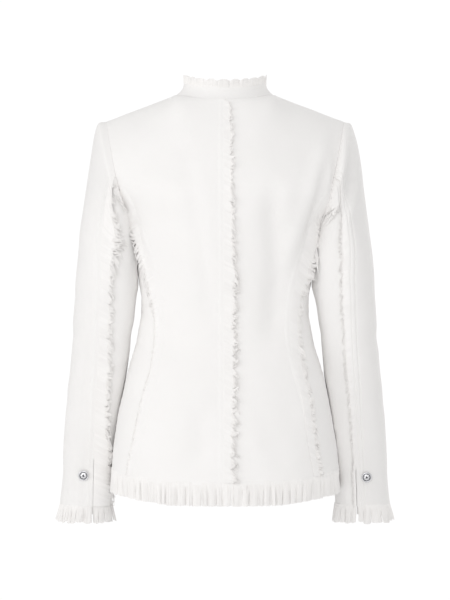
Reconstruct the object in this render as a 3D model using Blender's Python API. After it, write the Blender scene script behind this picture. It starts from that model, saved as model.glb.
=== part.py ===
"""A fitted hip-length jacket of white cotton twill, as it hangs on its wearer, with every visible seam left raw.

The body is a stack of level sections below the arms. Above them it is carried over the shoulders by curved
columns. Each sleeve runs from the armhole to the cuff through a row of tilted ovals. Panels are cut from these
two forms along their seams, and each piece gets its wall inwards from the outer face.
All tables and sizes are in millimetres. +X is the wearer's left, -Y is the front and +Z is up, with the origin
at the middle of the neck, level with the shoulder line.
"""

import math
from collections import namedtuple

import bmesh
import bpy
from mathutils import Vector

MM = 0.001

# Cloth and its edges
CLOTH = 1.8
SEAM_GAP = 0.3
FRINGE = 1.4
FRINGE_WIDTH = 16.0
HEM_FRINGE = 34.0
HEM_FRINGE_INSET = 1.0
HEM_RISE = 8.0
FRONT_LAP = 14.0

# Body: half widths, depths behind and in front of the neck's middle, and where the princess seams run
Section = namedtuple("Section", "z half_width back front princess_back princess_front")
SECTIONS = (
    Section(-583, 176.5, 128, 142, 143.0, 108),  # hem
    Section(-534, 170.0, 124, 138, 133.0, 101),
    Section(-478, 161.0, 113, 131, 123.0, 92),
    Section(-440, 154.0, 102, 127, 113.5, 85),  # hip
    Section(-409, 146.0, 92, 122, 106.0, 80),
    Section(-377, 136.5, 84, 118, 101.0, 77),
    Section(-330, 130.5, 79, 116, 101.0, 75),  # waist
    Section(-281, 134.0, 88, 124, 108.0, 80),
    Section(-235, 141.0, 99, 131, 120.0, 89),
    Section(-205, 146.0, 105, 133, 129.0, 97),  # underarm
)
HEM_Z = SECTIONS[0].z
UNDERARM_Z = SECTIONS[-1].z
SQUARENESS = 2.4

# Shoulders: what the columns pass through above the underarm, for the back half and the front half
Half = namedtuple("Half", "sign depth princess chest_depth armhole_x neck_depth neck_z neck_curve seam_top")
BACK = Half(1, "back", "princess_back", 110, 164, 58, -11, 2.0, 0.85)
FRONT = Half(-1, "front", "princess_front", 122, 160, 88, -75, 1.6, 0.80)
CHEST_Z = -130.0
CHEST_HALF_WIDTH = 186.0
NECK_POINT = Vector((76.0, 0.0, 2.0))
SHOULDER_TIP = Vector((184.0, -8.0, -37.5))
SHOULDER_REACH = 140.0
CORNER_SPREAD = 0.26
SPREAD_COLUMNS = 5
NECK_SHARE = 0.58  # share of a half's columns that end at the neck, the rest end on the shoulder seam
ARMHOLE_INWARDS = 85.0  # how strongly the side turns inwards at the underarm to follow the armhole
ARMHOLE_ALONG = 8.0

# How strongly a column arrives on top: towards the neck, over the shoulder towards the other half, and up
Arrival = namedtuple("Arrival", "inwards over up")
NECK_MIDDLE = Arrival(30, 0, 60)
NECK_SIDE = Arrival(45, 125, 17)
SHOULDER_INNER = Arrival(0, 140, 0)
SHOULDER_OUTER = Arrival(0, 95, 0)

# Sleeves: level ovals below the underarm, and the angle of the back seam, from 0 at the outer side to 90 behind
Oval = namedtuple("Oval", "z x y half_width half_depth back_seam")
SLEEVE = (
    Oval(-245, 184.8, -6, 43.4, 60.0, 87),  # upper arm
    Oval(-281, 184.8, -8, 47.4, 58.0, 88),
    Oval(-311, 186.8, -10, 47.2, 56.0, 88),
    Oval(-386, 193.8, -16, 44.6, 51.0, 93),  # elbow
    Oval(-460, 203.2, -26, 43.2, 47.0, 98),
    Oval(-540, 213.2, -38, 40.7, 43.5, 106),
    Oval(-593, 219.0, -47, 38.0, 42.0, 111),  # button
    Oval(-636, 220.8, -54, 40.4, 44.0, 110),  # cuff
)
FRONT_SEAM = -128.0

# Sleeve head: how far its first stretch reaches out, back and down, on top and at the underarm, and how strongly
# the sleeve leaves it
HEAD_REACH = 12.0
HEAD_REACH_LOW = 2.0
HEAD_BACK = 3.0
HEAD_DROP = 3.0
HEAD_DROP_LOW = 9.0
HEAD_SPEED = 1.2
HEAD_LEAVE_OUT = 30.0
HEAD_LEAVE_IN = 2.0
HEAD_LEAVE_DOWN = 31.0
HEAD_LEAVE_DOWN_BEHIND = 61.0

CUFF_FLARE = Oval(-668, 222.5, -59, 46.0, 49.5, 110)
VENT_Z = -555.0
VENT_OPENING = 7.0
ARMHOLE_GAP = 0.45

# Where the frayed strips end: the level of a body strip's top, and the angles and rows of the armhole's
CENTRE_FRINGE_TOP = 1.7
PRINCESS_FRINGE_TOP = 0.25
ARMHOLE_FRINGE_TOP = 94.0
ARMHOLE_FRINGE_LOW = 142.0
ARMHOLE_FRINGE_ROWS = (0.12, 0.5, 0.97)
ARMHOLE_FRINGE_STEPS = 4

# Collar
COLLAR_BAND = 17.0
COLLAR_FRINGE = 14.0
COLLAR_LEAN_SIDE = 12.0
COLLAR_LEAN_MIDDLE = 5.0
COLLAR_CENTRE_Y = -15.0

# Buttons
BUTTON_RADIUS = 8.2
BUTTON_Z = -593.0
BUTTON_HEIGHT = 3.6
BUTTON_SIDES = 12
FRONT_BUTTON_LEVELS = (1.7, 0.5, -0.1, -0.3, -0.5, -0.7)
# The button's half outline, as shares of its radius and height, from the foot to the dished top
BUTTON_OUTLINE = ((0.0, 0.0), (0.3, 0.0), (0.3, 0.3), (0.94, 0.3), (1.0, 0.5), (0.94, 0.78), (0.6, 1.0),
                  (0.5, 0.9), (0.0, 0.9))

# Folds: soft troughs and ridges pressed into the body, placed on the back as it is seen
Fold = namedtuple("Fold", "x_top z_top x_bottom z_bottom width depth")
FOLDS = (
    Fold(-70, -150, -84, -270, 22, -4.0),
    Fold(-62, -295, -72, -370, 20, -3.0),
    Fold(-150, -95, -100, -250, 15, 3.5),
    Fold(70, -95, 22, -250, 20, -2.5),
    Fold(30, -480, 44, -560, 18, -2.5),
)

# How finely the forms are cut into panels
BODY_LEVELS = 10
SHOULDER_STEPS = (0.25, 0.5, 0.68, 0.82, 1.0, 1.35, 1.7, 2.0)
NECK_COLUMNS = 3
SHOULDER_COLUMNS = 4
SIDE_COLUMNS = 3
TOP_COLUMNS = 13
UNDER_COLUMNS = 6
BUTTON_COLUMN = 22.0
half_gap = SEAM_GAP / 2

white_twill = (0.90, 0.89, 0.87, 1.0)
white_threads = (0.93, 0.92, 0.90, 1.0)
silver = (0.72, 0.72, 0.74, 1.0)


# ---------------------------------------------------------------- curves

def mix(a, b, share):
    return a + (b - a) * share


def ease(low, high, value):
    """0 below low, 1 above high, and a smooth step between."""
    share = min(1.0, max(0.0, (value - low) / (high - low)))
    return share * share * (3 - 2 * share)


def hermite(start, leave, end, arrive, t):
    """Cubic from start to end with the tangents leave and arrive, numbers or vectors."""
    return (start * (2 * t ** 3 - 3 * t ** 2 + 1) + leave * (t ** 3 - 2 * t ** 2 + t)
            + end * (3 * t ** 2 - 2 * t ** 3) + arrive * (t ** 3 - t ** 2))


def read(table, column, z):
    """A column of a table at height z, on a smooth curve through its rows; straight on past its ends."""
    rows = sorted(table, key=lambda row: row.z)
    values = [getattr(row, column) for row in rows]
    heights = [row.z for row in rows]
    slopes = []
    for i in range(len(rows)):
        low = max(i - 1, 0)
        high = min(i + 1, len(rows) - 1)
        slopes.append((values[high] - values[low]) / (heights[high] - heights[low]))
    if z <= heights[0]:
        return values[0] + slopes[0] * (z - heights[0])
    if z >= heights[-1]:
        return values[-1] + slopes[-1] * (z - heights[-1])
    i = max(k for k in range(len(rows) - 1) if heights[k] <= z)
    span = heights[i + 1] - heights[i]
    return hermite(values[i], slopes[i] * span, values[i + 1], slopes[i + 1] * span, (z - heights[i]) / span)


# ---------------------------------------------------------------- body form

def oval(half_width, depth, turn):
    """x and y on a squared oval; turn 0 is the centre line, 1 the side, and a negative turn mirrors x."""
    angle = turn * math.pi / 2
    across = math.sin(angle)
    along = math.cos(angle)
    reach = ((abs(across) / half_width) ** SQUARENESS + (abs(along) / depth) ** SQUARENESS) ** (-1 / SQUARENESS)
    return reach * across, reach * along


def turn_at(half_width, depth, x):
    """The turn at which oval() has this x."""
    y = depth * (1 - (x / half_width) ** SQUARENESS) ** (1 / SQUARENESS)
    return math.atan2(x, y) * 2 / math.pi


def section_point(half, turn, z):
    x, y = oval(read(SECTIONS, "half_width", z), read(SECTIONS, half.depth, z), turn)
    return Vector((x, half.sign * y, z))


def neck_point(half, angle):
    """The neck seam; angle runs in degrees from 0 at the centre line to 90 at the shoulder seam."""
    across = math.sin(math.radians(angle))
    along = math.cos(math.radians(angle))
    z = mix(NECK_POINT.z, half.neck_z, max(along, 0.0) ** half.neck_curve)
    return Vector((NECK_POINT.x * across, half.sign * half.neck_depth * along, z))


def top_edge(half, turn):
    """Where a column ends, on the neck seam or the shoulder seam, and the tangent it arrives with."""
    angle = min(turn / NECK_SHARE, 1.0) * 90
    out = Vector((math.sin(math.radians(angle)), half.sign * math.cos(math.radians(angle)), 0))

    def tangent(first, last, share):
        inwards, over, up = (mix(a, b, share) for a, b in zip(first, last))
        return Vector((0, -half.sign * over, up)) - out * inwards
    at_neck = tangent(NECK_MIDDLE, NECK_SIDE, ease(0, 90, abs(angle)))
    if turn <= NECK_SHARE:
        return neck_point(half, angle), at_neck
    share = (turn - NECK_SHARE) / (1 - NECK_SHARE)
    over_shoulder = tangent(SHOULDER_INNER, SHOULDER_OUTER, share)
    return NECK_POINT.lerp(SHOULDER_TIP, share), at_neck.lerp(over_shoulder, ease(0, 0.4, share))


def column_point(half, turn, level):
    """A point of one column; level is -1 at the hem, 0 at the underarm, 1 at the chest and 2 on top."""
    if level <= 0:
        hem = HEM_Z + HEM_RISE * ease(0.3, 0.8, turn)
        return section_point(half, turn, UNDERARM_Z + level * (UNDERARM_Z - hem))
    start = section_point(half, turn, UNDERARM_Z)
    slope = start - section_point(half, turn, UNDERARM_Z - 1)
    inwards = (section_point(half, turn - 0.01, UNDERARM_Z) - start).normalized()
    rise = CHEST_Z - UNDERARM_Z
    armhole = ease(0.7, 1.0, turn)
    leave = (slope * rise).lerp(inwards * ARMHOLE_INWARDS + slope * ARMHOLE_ALONG, armhole)
    chest_turn = turn_at(CHEST_HALF_WIDTH, half.chest_depth, half.armhole_x)
    x, y = oval(CHEST_HALF_WIDTH, half.chest_depth, turn * chest_turn)
    chest = Vector((x, half.sign * y, CHEST_Z))
    end, arrive = top_edge(half, turn)
    through = (end - start) * 0.5
    if level <= 1:
        return hermite(start, leave, chest, through, level)
    reach = (end - chest).length
    return hermite(chest, through.normalized() * reach, end, arrive * reach / SHOULDER_REACH, level - 1)


def body_point(half, turn, level):
    """The outer face on the wearer's left. Below the shoulders, neighbouring columns are averaged, which spreads
    the corner of the neck point into a soft slope."""
    spread = CORNER_SPREAD * ease(1.0, 1.3, level) * ease(0.0, 0.5, 2 - level)
    spread = min(spread, 0.8 * (1 - turn))
    if spread <= 0:
        return column_point(half, turn, level)
    total = Vector()
    weights = 0
    for k in range(-SPREAD_COLUMNS, SPREAD_COLUMNS + 1):
        weight = 1 + math.cos(math.pi * k / (SPREAD_COLUMNS + 1))
        total += column_point(half, turn + spread * k / SPREAD_COLUMNS, level) * weight
        weights += weight
    return total / weights


def princess_turn(half, level):
    """The princess seam's turn at a level; it reaches the armhole, turn 1, at half.seam_top."""
    z = UNDERARM_Z + min(level, 0) * (UNDERARM_Z - HEM_Z)
    half_width, depth, seam = (read(SECTIONS, column, z) for column in ("half_width", half.depth, half.princess))
    turn = turn_at(half_width, depth, seam)
    if level <= 0:
        return turn
    return mix(turn, 1.0, min(level / half.seam_top, 1.0) ** 0.9)


def fold_height(point):
    """How far the folds lift the cloth at a point of the back."""
    lift = 0.0
    if point.y < 0:
        return lift
    for fold in FOLDS:
        along = (point.z - fold.z_top) / (fold.z_bottom - fold.z_top)
        off = point.x - mix(fold.x_top, fold.x_bottom, along)
        fade = ease(-0.25, 0.3, along) * (1 - ease(0.7, 1.25, along))
        lift += fold.depth * math.exp(-(off / fold.width) ** 2) * fade
    return lift


def outward(point_of, u, v, away_from):
    """Unit normal of a surface point_of(u, v), pointing away from an inner point."""
    step = 0.01
    across = point_of(u + step, v) - point_of(u - step, v)
    up = point_of(u, v + step) - point_of(u, v - step)
    normal = across.cross(up).normalized()
    if normal.dot(point_of(u, v) - away_from) < 0:
        normal = -normal
    return normal


def body_frame(half, turn, level):
    """Point and outward normal on the wearer's left half, before the folds."""
    def normal_of(part):
        def point_of(u, v):
            return body_point(part, min(u, 1.0) if level > 0 else u, max(-1.0, min(v, 2.0)))
        return outward(point_of, turn, level, inside)
    point = body_point(half, turn, level)
    inside = Vector((0, 0, min(point.z, CHEST_Z) - 60 * ease(0, 1, level)))
    normal = normal_of(half)
    on_shoulder_seam = level > 1.98 and turn > NECK_SHARE - 0.01
    if on_shoulder_seam:
        normal = (normal + normal_of(FRONT if half is BACK else BACK)).normalized()
    return point, normal


def body_cell(half, side, turn, level, out=0.0):
    """A point on the body, moved out along its normal; side is 1 for the wearer's left and -1 for the right."""
    point, normal = body_frame(half, turn, level)
    point = Vector((point.x * side, point.y, point.z))
    normal = Vector((normal.x * side, normal.y, normal.z))
    return point + normal * (fold_height(point) + out)


def turn_step(half, turn, level, distance):
    """The change of turn that moves a point sideways by a distance."""
    small = 0.005
    ahead = body_point(half, min(turn + small, 1.0), level)
    behind = body_point(half, min(turn + small, 1.0) - 2 * small, level)
    return distance * 2 * small / (ahead - behind).length


def level_step(half, turn, level, distance):
    small = 0.005
    return distance * small / (body_point(half, turn, level) - body_point(half, turn, level - small)).length


# ---------------------------------------------------------------- sleeve form

def sleeve_oval(row, angle):
    turn = math.radians(angle)
    return Vector((row.x + row.half_width * math.cos(turn), row.y + row.half_depth * math.sin(turn), row.z))


def oval_at(z):
    return Oval(z, *(read(SLEEVE, column, z) for column in Oval._fields[1:]))


def armhole_point(angle):
    """The armhole seam: 0 is the shoulder tip, 90 behind, 180 under the arm, and negative angles run in front."""
    half = BACK if angle >= 0 else FRONT
    return body_point(half, 1.0, 2 - abs(angle) / 90)


def sleeve_point(angle, row):
    """The sleeve's outer face on the wearer's left. row is 0 at the armhole, 1 past the sleeve head, 2 at the
    upper arm, then 1 more for each oval."""
    if angle > 180:
        angle -= 360
    top = (1 + math.cos(math.radians(angle))) / 2
    behind = math.sin(math.radians(angle))
    start = armhole_point(angle)
    head = start + Vector((mix(HEAD_REACH_LOW, HEAD_REACH, top ** 0.6), HEAD_BACK * behind,
                           -mix(HEAD_DROP_LOW, HEAD_DROP, top)))
    leave = Vector((mix(-HEAD_LEAVE_IN, HEAD_LEAVE_OUT, top ** 1.5), -HEAD_LEAVE_IN,
                    -mix(HEAD_LEAVE_DOWN, HEAD_LEAVE_DOWN_BEHIND, behind ** 2)))
    if row <= 1:
        reach = (head - start).length
        return hermite(start, (head - start) * HEAD_SPEED, head, leave.normalized() * reach, row)
    if row <= 2:
        end = sleeve_oval(SLEEVE[0], angle)
        length = (end - head).length
        arrive = (end - sleeve_oval(oval_at(SLEEVE[0].z + 10), angle)) * length / 10
        return hermite(head, leave, end, arrive, row - 1)
    low = min(int(row) - 2, len(SLEEVE) - 2)
    z = mix(SLEEVE[low].z, SLEEVE[low + 1].z, row - 2 - low)
    return sleeve_oval(oval_at(z), angle)


def sleeve_row(z):
    """The row number at a height below the upper arm."""
    low = max(k for k in range(len(SLEEVE) - 1) if SLEEVE[k].z >= z)
    return 2 + low + (z - SLEEVE[low].z) / (SLEEVE[low + 1].z - SLEEVE[low].z)


LAST_ROW = 1 + len(SLEEVE)
SLEEVE_ROWS = (0.5, 1.0, 1.15, 1.35, 1.6, 2.0) + tuple(float(row) for row in range(3, LAST_ROW + 1))


def back_seam(row):
    if row < 2:
        return mix(90, SLEEVE[0].back_seam, row / 2)
    low = min(int(row) - 2, len(SLEEVE) - 2)
    return mix(SLEEVE[low].back_seam, SLEEVE[low + 1].back_seam, row - 2 - low)


def sleeve_frame(angle, row):
    def point_of(u, v):
        return sleeve_point(u, max(0.0, min(v, LAST_ROW)))
    point = sleeve_point(angle, row)
    centre = sum((sleeve_point(a, row) for a in (0, 90, 180, -90)), Vector()) / 4
    low_centre = sum((sleeve_point(a, min(row + 0.5, LAST_ROW)) for a in (0, 90, 180, -90)), Vector()) / 4
    inside = centre.lerp(low_centre, 1 - ease(0, 2, row))
    return point, outward(point_of, angle, row, inside)


def sleeve_cell(side, angle, row, out=0.0):
    point, normal = sleeve_frame(angle, row)
    moved = point + normal * out
    return Vector((moved.x * side, moved.y, moved.z))


def angle_step(angle, row, distance):
    return distance / (sleeve_point(angle + 0.5, row) - sleeve_point(angle - 0.5, row)).length


# ---------------------------------------------------------------- solids

def add_piece(name, mesh_builder, colour, roughness, metallic=0.0):
    """Makes a named object with its own material from a bmesh in millimetres."""
    bmesh.ops.recalc_face_normals(mesh_builder, faces=mesh_builder.faces)
    bmesh.ops.scale(mesh_builder, vec=(MM, MM, MM), verts=mesh_builder.verts)
    mesh = bpy.data.meshes.new(name)
    mesh_builder.to_mesh(mesh)
    mesh_builder.free()
    mesh.shade_smooth()
    mesh.set_sharp_from_angle(angle=math.radians(40))
    piece = bpy.data.objects.new(name, mesh)
    bpy.context.scene.collection.objects.link(piece)
    material = bpy.data.materials.new(name)
    material.use_nodes = True
    shader = material.node_tree.nodes["Principled BSDF"]
    shader.inputs["Base Color"].default_value = colour
    shader.inputs["Roughness"].default_value = roughness
    shader.inputs["Metallic"].default_value = metallic
    mesh.materials.append(material)
    return piece


def add_wall(name, outer, inner, colour, roughness=0.9):
    """A closed wall between two grids of points, rows by columns, with a rim round its four edges."""
    builder = bmesh.new()
    faces = [[[builder.verts.new(point) for point in row] for row in grid] for grid in (outer, inner)]
    rows = len(outer)
    columns = len(outer[0])
    for sheet in faces:
        for i in range(rows - 1):
            for j in range(columns - 1):
                builder.faces.new((sheet[i][j], sheet[i][j + 1], sheet[i + 1][j + 1], sheet[i + 1][j]))
    edge = [(0, j) for j in range(columns)] + [(i, columns - 1) for i in range(1, rows)]
    edge += [(rows - 1, j) for j in range(columns - 2, -1, -1)] + [(i, 0) for i in range(rows - 2, 0, -1)]
    for (i, j), (k, m) in zip(edge, edge[1:] + edge[:1]):
        builder.faces.new((faces[0][i][j], faces[0][k][m], faces[1][k][m], faces[1][i][j]))
    return add_piece(name, builder, colour, roughness)


def body_wall(name, half, side, grid, low=-CLOTH, high=0.0, colour=white_twill):
    """A wall on the body from a grid of (turn, level), between two distances from its outer face."""
    outer = [[body_cell(half, side, turn, level, high) for turn, level in row] for row in grid]
    inner = [[body_cell(half, side, turn, level, low) for turn, level in row] for row in grid]
    return add_wall(name, outer, inner, colour)


def sleeve_wall(name, side, grid, low=-CLOTH, high=0.0, colour=white_twill):
    outer = [[sleeve_cell(side, angle, row, high) for angle, row in line] for line in grid]
    inner = [[sleeve_cell(side, angle, row, low) for angle, row in line] for line in grid]
    return add_wall(name, outer, inner, colour)


# ---------------------------------------------------------------- body panels

def body_levels(top=2.0):
    lower = [-1 + k / BODY_LEVELS for k in range(BODY_LEVELS + 1)]
    return lower + [step for step in SHOULDER_STEPS if step <= top]


def middle_turns(half, level, first_distance):
    """Columns of a back or front panel: its own edge, one fringe width, then the neck and shoulder columns."""
    limit = princess_turn(half, level)
    last = limit - turn_step(half, limit, level, half_gap)
    second = turn_step(half, 0.0, level, FRINGE_WIDTH)
    top_second = turn_step(half, 0.0, 2.0, FRINGE_WIDTH)
    neck_share = (NECK_SHARE - top_second) / (1 - top_second)
    shares = [neck_share * k / NECK_COLUMNS for k in range(NECK_COLUMNS + 1)]
    shares += [mix(neck_share, 1, k / SHOULDER_COLUMNS) for k in range(1, SHOULDER_COLUMNS + 1)]
    return [turn_step(half, 0.0, level, first_distance)] + [mix(second, last, share) for share in shares]


def top_trimmed(half, row):
    """Pulls a top row down by half a seam gap."""
    return [(turn, level - level_step(half, turn, level, half_gap)) for turn, level in row]


def middle_grid(half, first_distance, extra=()):
    """Grid of a back or front panel; extra distances from the centre line come before its first column."""
    grid = []
    for level in body_levels():
        turns = [turn_step(half, 0.0, level, distance) for distance in extra]
        turns += middle_turns(half, level, first_distance)
        grid.append([(turn, level) for turn in turns])
    grid[-1] = top_trimmed(half, grid[-1])
    return grid


def side_turns(half, level):
    """Columns of a side panel: the princess seam, one fringe width, then on to the side seam or armhole."""
    start = princess_turn(half, level)
    first = start + turn_step(half, start, level, half_gap)
    last = 1 - turn_step(half, 1.0, level, half_gap)
    second = min(start + turn_step(half, start, level, FRINGE_WIDTH), mix(first, last, 0.6))
    return [first, second] + [mix(second, last, k / SIDE_COLUMNS) for k in range(1, SIDE_COLUMNS + 1)]


def side_grid(half):
    levels = body_levels(half.seam_top - 0.02)
    return [[(turn, level) for turn in side_turns(half, level)] for level in levels]


def make_body_panels():
    for side, name in ((1, "left"), (-1, "right")):
        body_wall("back_" + name, BACK, side, middle_grid(BACK, half_gap))
        body_wall("side_back_" + name, BACK, side, side_grid(BACK))
        body_wall("side_front_" + name, FRONT, side, side_grid(FRONT))
    body_wall("front_left", FRONT, 1, middle_grid(FRONT, FRONT_LAP + half_gap))
    lap = (half_gap - FRONT_LAP, 0.0)
    body_wall("front_right", FRONT, -1, middle_grid(FRONT, FRONT_LAP, lap))


# ---------------------------------------------------------------- collar

def collar_point(half, side, angle, height):
    """Outer face of the collar over a point of the neck seam; it leans in at its base and then stands up."""
    base = neck_point(half, angle)
    turn = math.radians(angle)
    lean = mix(COLLAR_LEAN_MIDDLE, COLLAR_LEAN_SIDE, abs(math.sin(turn)) ** 1.5)
    settled = 1 - (1 - min(height / COLLAR_BAND, 1.0)) ** 2
    out = Vector((math.sin(turn), half.sign * math.cos(turn), 0))
    point = base - out * lean * settled + Vector((0, 0, height))
    return Vector((point.x * side, point.y, point.z))


def collar_stations():
    """(half, side, angle) from the left front edge round the back to the right front edge."""
    def angles(half):
        turns = middle_turns(half, 2.0, 0.0)[1:NECK_COLUMNS + 2]
        return [min(turn / NECK_SHARE, 1.0) * 90 for turn in turns]
    lap_angle = math.degrees(math.asin(FRONT_LAP / NECK_POINT.x))
    gap_angle = math.degrees(half_gap / NECK_POINT.x)
    stations = [(FRONT, 1, lap_angle + gap_angle)]
    stations += [(FRONT, 1, angle) for angle in angles(FRONT)[:-1]]
    stations += [(BACK, 1, angle) for angle in reversed(angles(BACK))]
    stations += [(BACK, 1, 0.0)]
    stations += [(BACK, -1, angle) for angle in angles(BACK)]
    stations += [(FRONT, -1, angle) for angle in reversed(angles(FRONT)[:-1])]
    return stations + [(FRONT, -1, 0.0), (FRONT, -1, gap_angle - lap_angle)]


def collar_wall(name, heights, wall, colour):
    outer = []
    inner = []
    for height in heights:
        line = [collar_point(*station, height) for station in collar_stations()]
        above = [collar_point(*station, height + 0.5) for station in collar_stations()]
        normals = []
        for k in range(len(line)):
            across = line[min(k + 1, len(line) - 1)] - line[max(k - 1, 0)]
            normal = across.cross(above[k] - line[k]).normalized()
            centre = Vector((0, COLLAR_CENTRE_Y, line[k].z))
            normals.append(normal if normal.dot(line[k] - centre) > 0 else -normal)
        outer.append(line)
        inner.append([point - normal * wall for point, normal in zip(line, normals)])
    return add_wall(name, outer, inner, colour)


def make_collar():
    collar_wall("collar_band", (half_gap, COLLAR_BAND * 0.35, COLLAR_BAND), CLOTH, white_twill)
    collar_wall("collar_fringe", (COLLAR_BAND + SEAM_GAP, COLLAR_BAND + COLLAR_FRINGE), FRINGE, white_threads)


# ---------------------------------------------------------------- sleeves

def sleeve_lines(start_gap, columns_of):
    """Grid of (angle, row): the first line lies just off the armhole seam, the rest follow SLEEVE_ROWS."""
    first = []
    for angle in columns_of(0.0):
        reach = (sleeve_point(angle, 1.0) - sleeve_point(angle, 0.0)).length
        first.append((angle, start_gap / reach / HEAD_SPEED))
    return [first] + [[(angle, row) for angle in columns_of(row)] for row in SLEEVE_ROWS]


def top_columns(row):
    seam = back_seam(row)
    near = seam - angle_step(seam, row, half_gap)
    button = seam - BUTTON_COLUMN
    last = FRONT_SEAM + angle_step(FRONT_SEAM, row, half_gap)
    return [near] + [mix(button, last, k / TOP_COLUMNS) for k in range(TOP_COLUMNS + 1)]


def under_columns(row):
    seam = back_seam(row)
    near = seam + angle_step(seam, row, half_gap)
    fringe = seam + angle_step(seam, row, FRINGE_WIDTH)
    last = 360 + FRONT_SEAM - angle_step(FRONT_SEAM, row, half_gap)
    return [near] + [mix(fringe, last, k / UNDER_COLUMNS) for k in range(UNDER_COLUMNS + 1)]


def make_sleeves():
    for side, name in ((1, "left"), (-1, "right")):
        sleeve_wall("sleeve_top_" + name, side, sleeve_lines(ARMHOLE_GAP, top_columns))
        sleeve_wall("sleeve_under_" + name, side, sleeve_lines(ARMHOLE_GAP, under_columns))


# ---------------------------------------------------------------- raw edges

def hem_columns():
    """(half, side, turn) round the hem from the left front edge to the right front edge."""
    front = middle_turns(FRONT, -1, FRONT_LAP + half_gap)[:-1] + side_turns(FRONT, -1)[:-1]
    back = middle_turns(BACK, -1, half_gap)[1:-1] + side_turns(BACK, -1)[:-1]
    columns = [(FRONT, 1, turn) for turn in front] + [(FRONT, 1, 1.0)]
    columns += [(BACK, 1, turn) for turn in reversed(back)] + [(BACK, 1, 0.0)]
    columns += [(BACK, -1, turn) for turn in back] + [(FRONT, -1, 1.0)]
    columns += [(FRONT, -1, turn) for turn in reversed(front[1:])]
    columns += [(FRONT, -1, 0.0), (FRONT, -1, -turn_step(FRONT, 0.0, -1, FRONT_LAP - half_gap))]
    return columns


def make_hem_fringe():
    outer = []
    inner = []
    for drop, inset in ((SEAM_GAP, 0.0), (HEM_FRINGE, HEM_FRINGE_INSET)):
        fall = Vector((0, 0, -drop))
        outer.append([body_cell(*column, -1.0, -inset) + fall for column in hem_columns()])
        inner.append([body_cell(*column, -1.0, -inset - FRINGE) + fall for column in hem_columns()])
    add_wall("hem_fringe", outer, inner, white_threads)


def make_cuff_fringes():
    """The threads flare below each cuff and part where the vent opens."""
    cuff = SLEEVE[-1]
    opening = angle_step(cuff.back_seam, LAST_ROW, VENT_OPENING / 2)
    start = cuff.back_seam + opening
    end = cuff.back_seam - opening + 360
    count = TOP_COLUMNS + UNDER_COLUMNS + 2
    angles = [mix(start, end, k / count) for k in range(count + 1)]
    top = cuff._replace(z=cuff.z - SEAM_GAP)
    for side, name in ((1, "left"), (-1, "right")):
        grids = []
        for inwards in (0.0, FRINGE):
            rows = []
            for row in (top, CUFF_FLARE):
                ring = row._replace(half_width=row.half_width - inwards, half_depth=row.half_depth - inwards)
                points = [sleeve_oval(ring, angle) for angle in angles]
                rows.append([Vector((point.x * side, point.y, point.z)) for point in points])
            grids.append(rows)
        add_wall("cuff_fringe_" + name, grids[0], grids[1], white_threads)


def strip_on_body(name, half, side, columns_of, levels):
    """A frayed strip lying on a panel, made from the panel's own points moved out."""
    grid = [[(turn, level) for turn in columns_of(half, level)] for level in levels]
    body_wall(name, half, side, grid, SEAM_GAP, SEAM_GAP + FRINGE, white_threads)


def make_seam_fringes():
    def centre_columns(half, level):
        return middle_turns(half, level, half_gap)[:2]

    def princess_columns(half, level):
        return side_turns(half, level)[:2]
    strip_on_body("centre_back_fringe", BACK, -1, centre_columns, body_levels(CENTRE_FRINGE_TOP))
    for side, name in ((1, "left"), (-1, "right")):
        strip_on_body("princess_fringe_" + name, BACK, side, princess_columns, body_levels(PRINCESS_FRINGE_TOP))
        rows = [row for row in SLEEVE_ROWS if 1 <= row <= sleeve_row(VENT_Z)]
        lines = [[(angle, row) for angle in under_columns(row)[:2]] for row in rows]
        sleeve_wall("sleeve_fringe_" + name, side, lines, SEAM_GAP, SEAM_GAP + FRINGE, white_threads)
        arc = [mix(ARMHOLE_FRINGE_TOP, ARMHOLE_FRINGE_LOW, k / ARMHOLE_FRINGE_STEPS)
               for k in range(ARMHOLE_FRINGE_STEPS + 1)]
        lines = [[(angle, row) for angle in arc] for row in ARMHOLE_FRINGE_ROWS]
        sleeve_wall("armhole_fringe_" + name, side, lines, ARMHOLE_GAP, ARMHOLE_GAP + FRINGE, white_threads)


# ---------------------------------------------------------------- buttons

def add_button(name, seat, normal):
    """A turned metal button whose foot lies a gap above its seat."""
    builder = bmesh.new()
    points = [builder.verts.new((radius * BUTTON_RADIUS, 0, height * BUTTON_HEIGHT))
              for radius, height in BUTTON_OUTLINE]
    edges = [builder.edges.new(pair) for pair in zip(points, points[1:])]
    bmesh.ops.spin(builder, geom=points + edges, cent=(0, 0, 0), axis=(0, 0, 1), angle=math.tau,
                   steps=BUTTON_SIDES, use_merge=True)
    bmesh.ops.remove_doubles(builder, verts=builder.verts, dist=0.01)
    turn = normal.to_track_quat("Z", "Y").to_matrix()
    bmesh.ops.rotate(builder, cent=(0, 0, 0), matrix=turn, verts=builder.verts)
    bmesh.ops.translate(builder, vec=seat + normal * SEAM_GAP, verts=builder.verts)
    add_piece(name, builder, silver, 0.25, 1.0)


def make_buttons():
    row = sleeve_row(BUTTON_Z)
    for side, name in ((1, "left"), (-1, "right")):
        point, normal = sleeve_frame(top_columns(row)[1], row)
        add_button("cuff_button_" + name, Vector((point.x * side, point.y, point.z)),
                   Vector((normal.x * side, normal.y, normal.z)))
    for number, level in enumerate(FRONT_BUTTON_LEVELS, 1):
        point, normal = body_frame(FRONT, 0.0, level)
        add_button(f"front_button_{number}", point, normal)


for old in list(bpy.data.objects):
    bpy.data.objects.remove(old)
make_body_panels()
make_collar()
make_sleeves()
make_hem_fringe()
make_cuff_fringes()
make_seam_fringes()
make_buttons()
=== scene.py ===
import math

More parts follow.
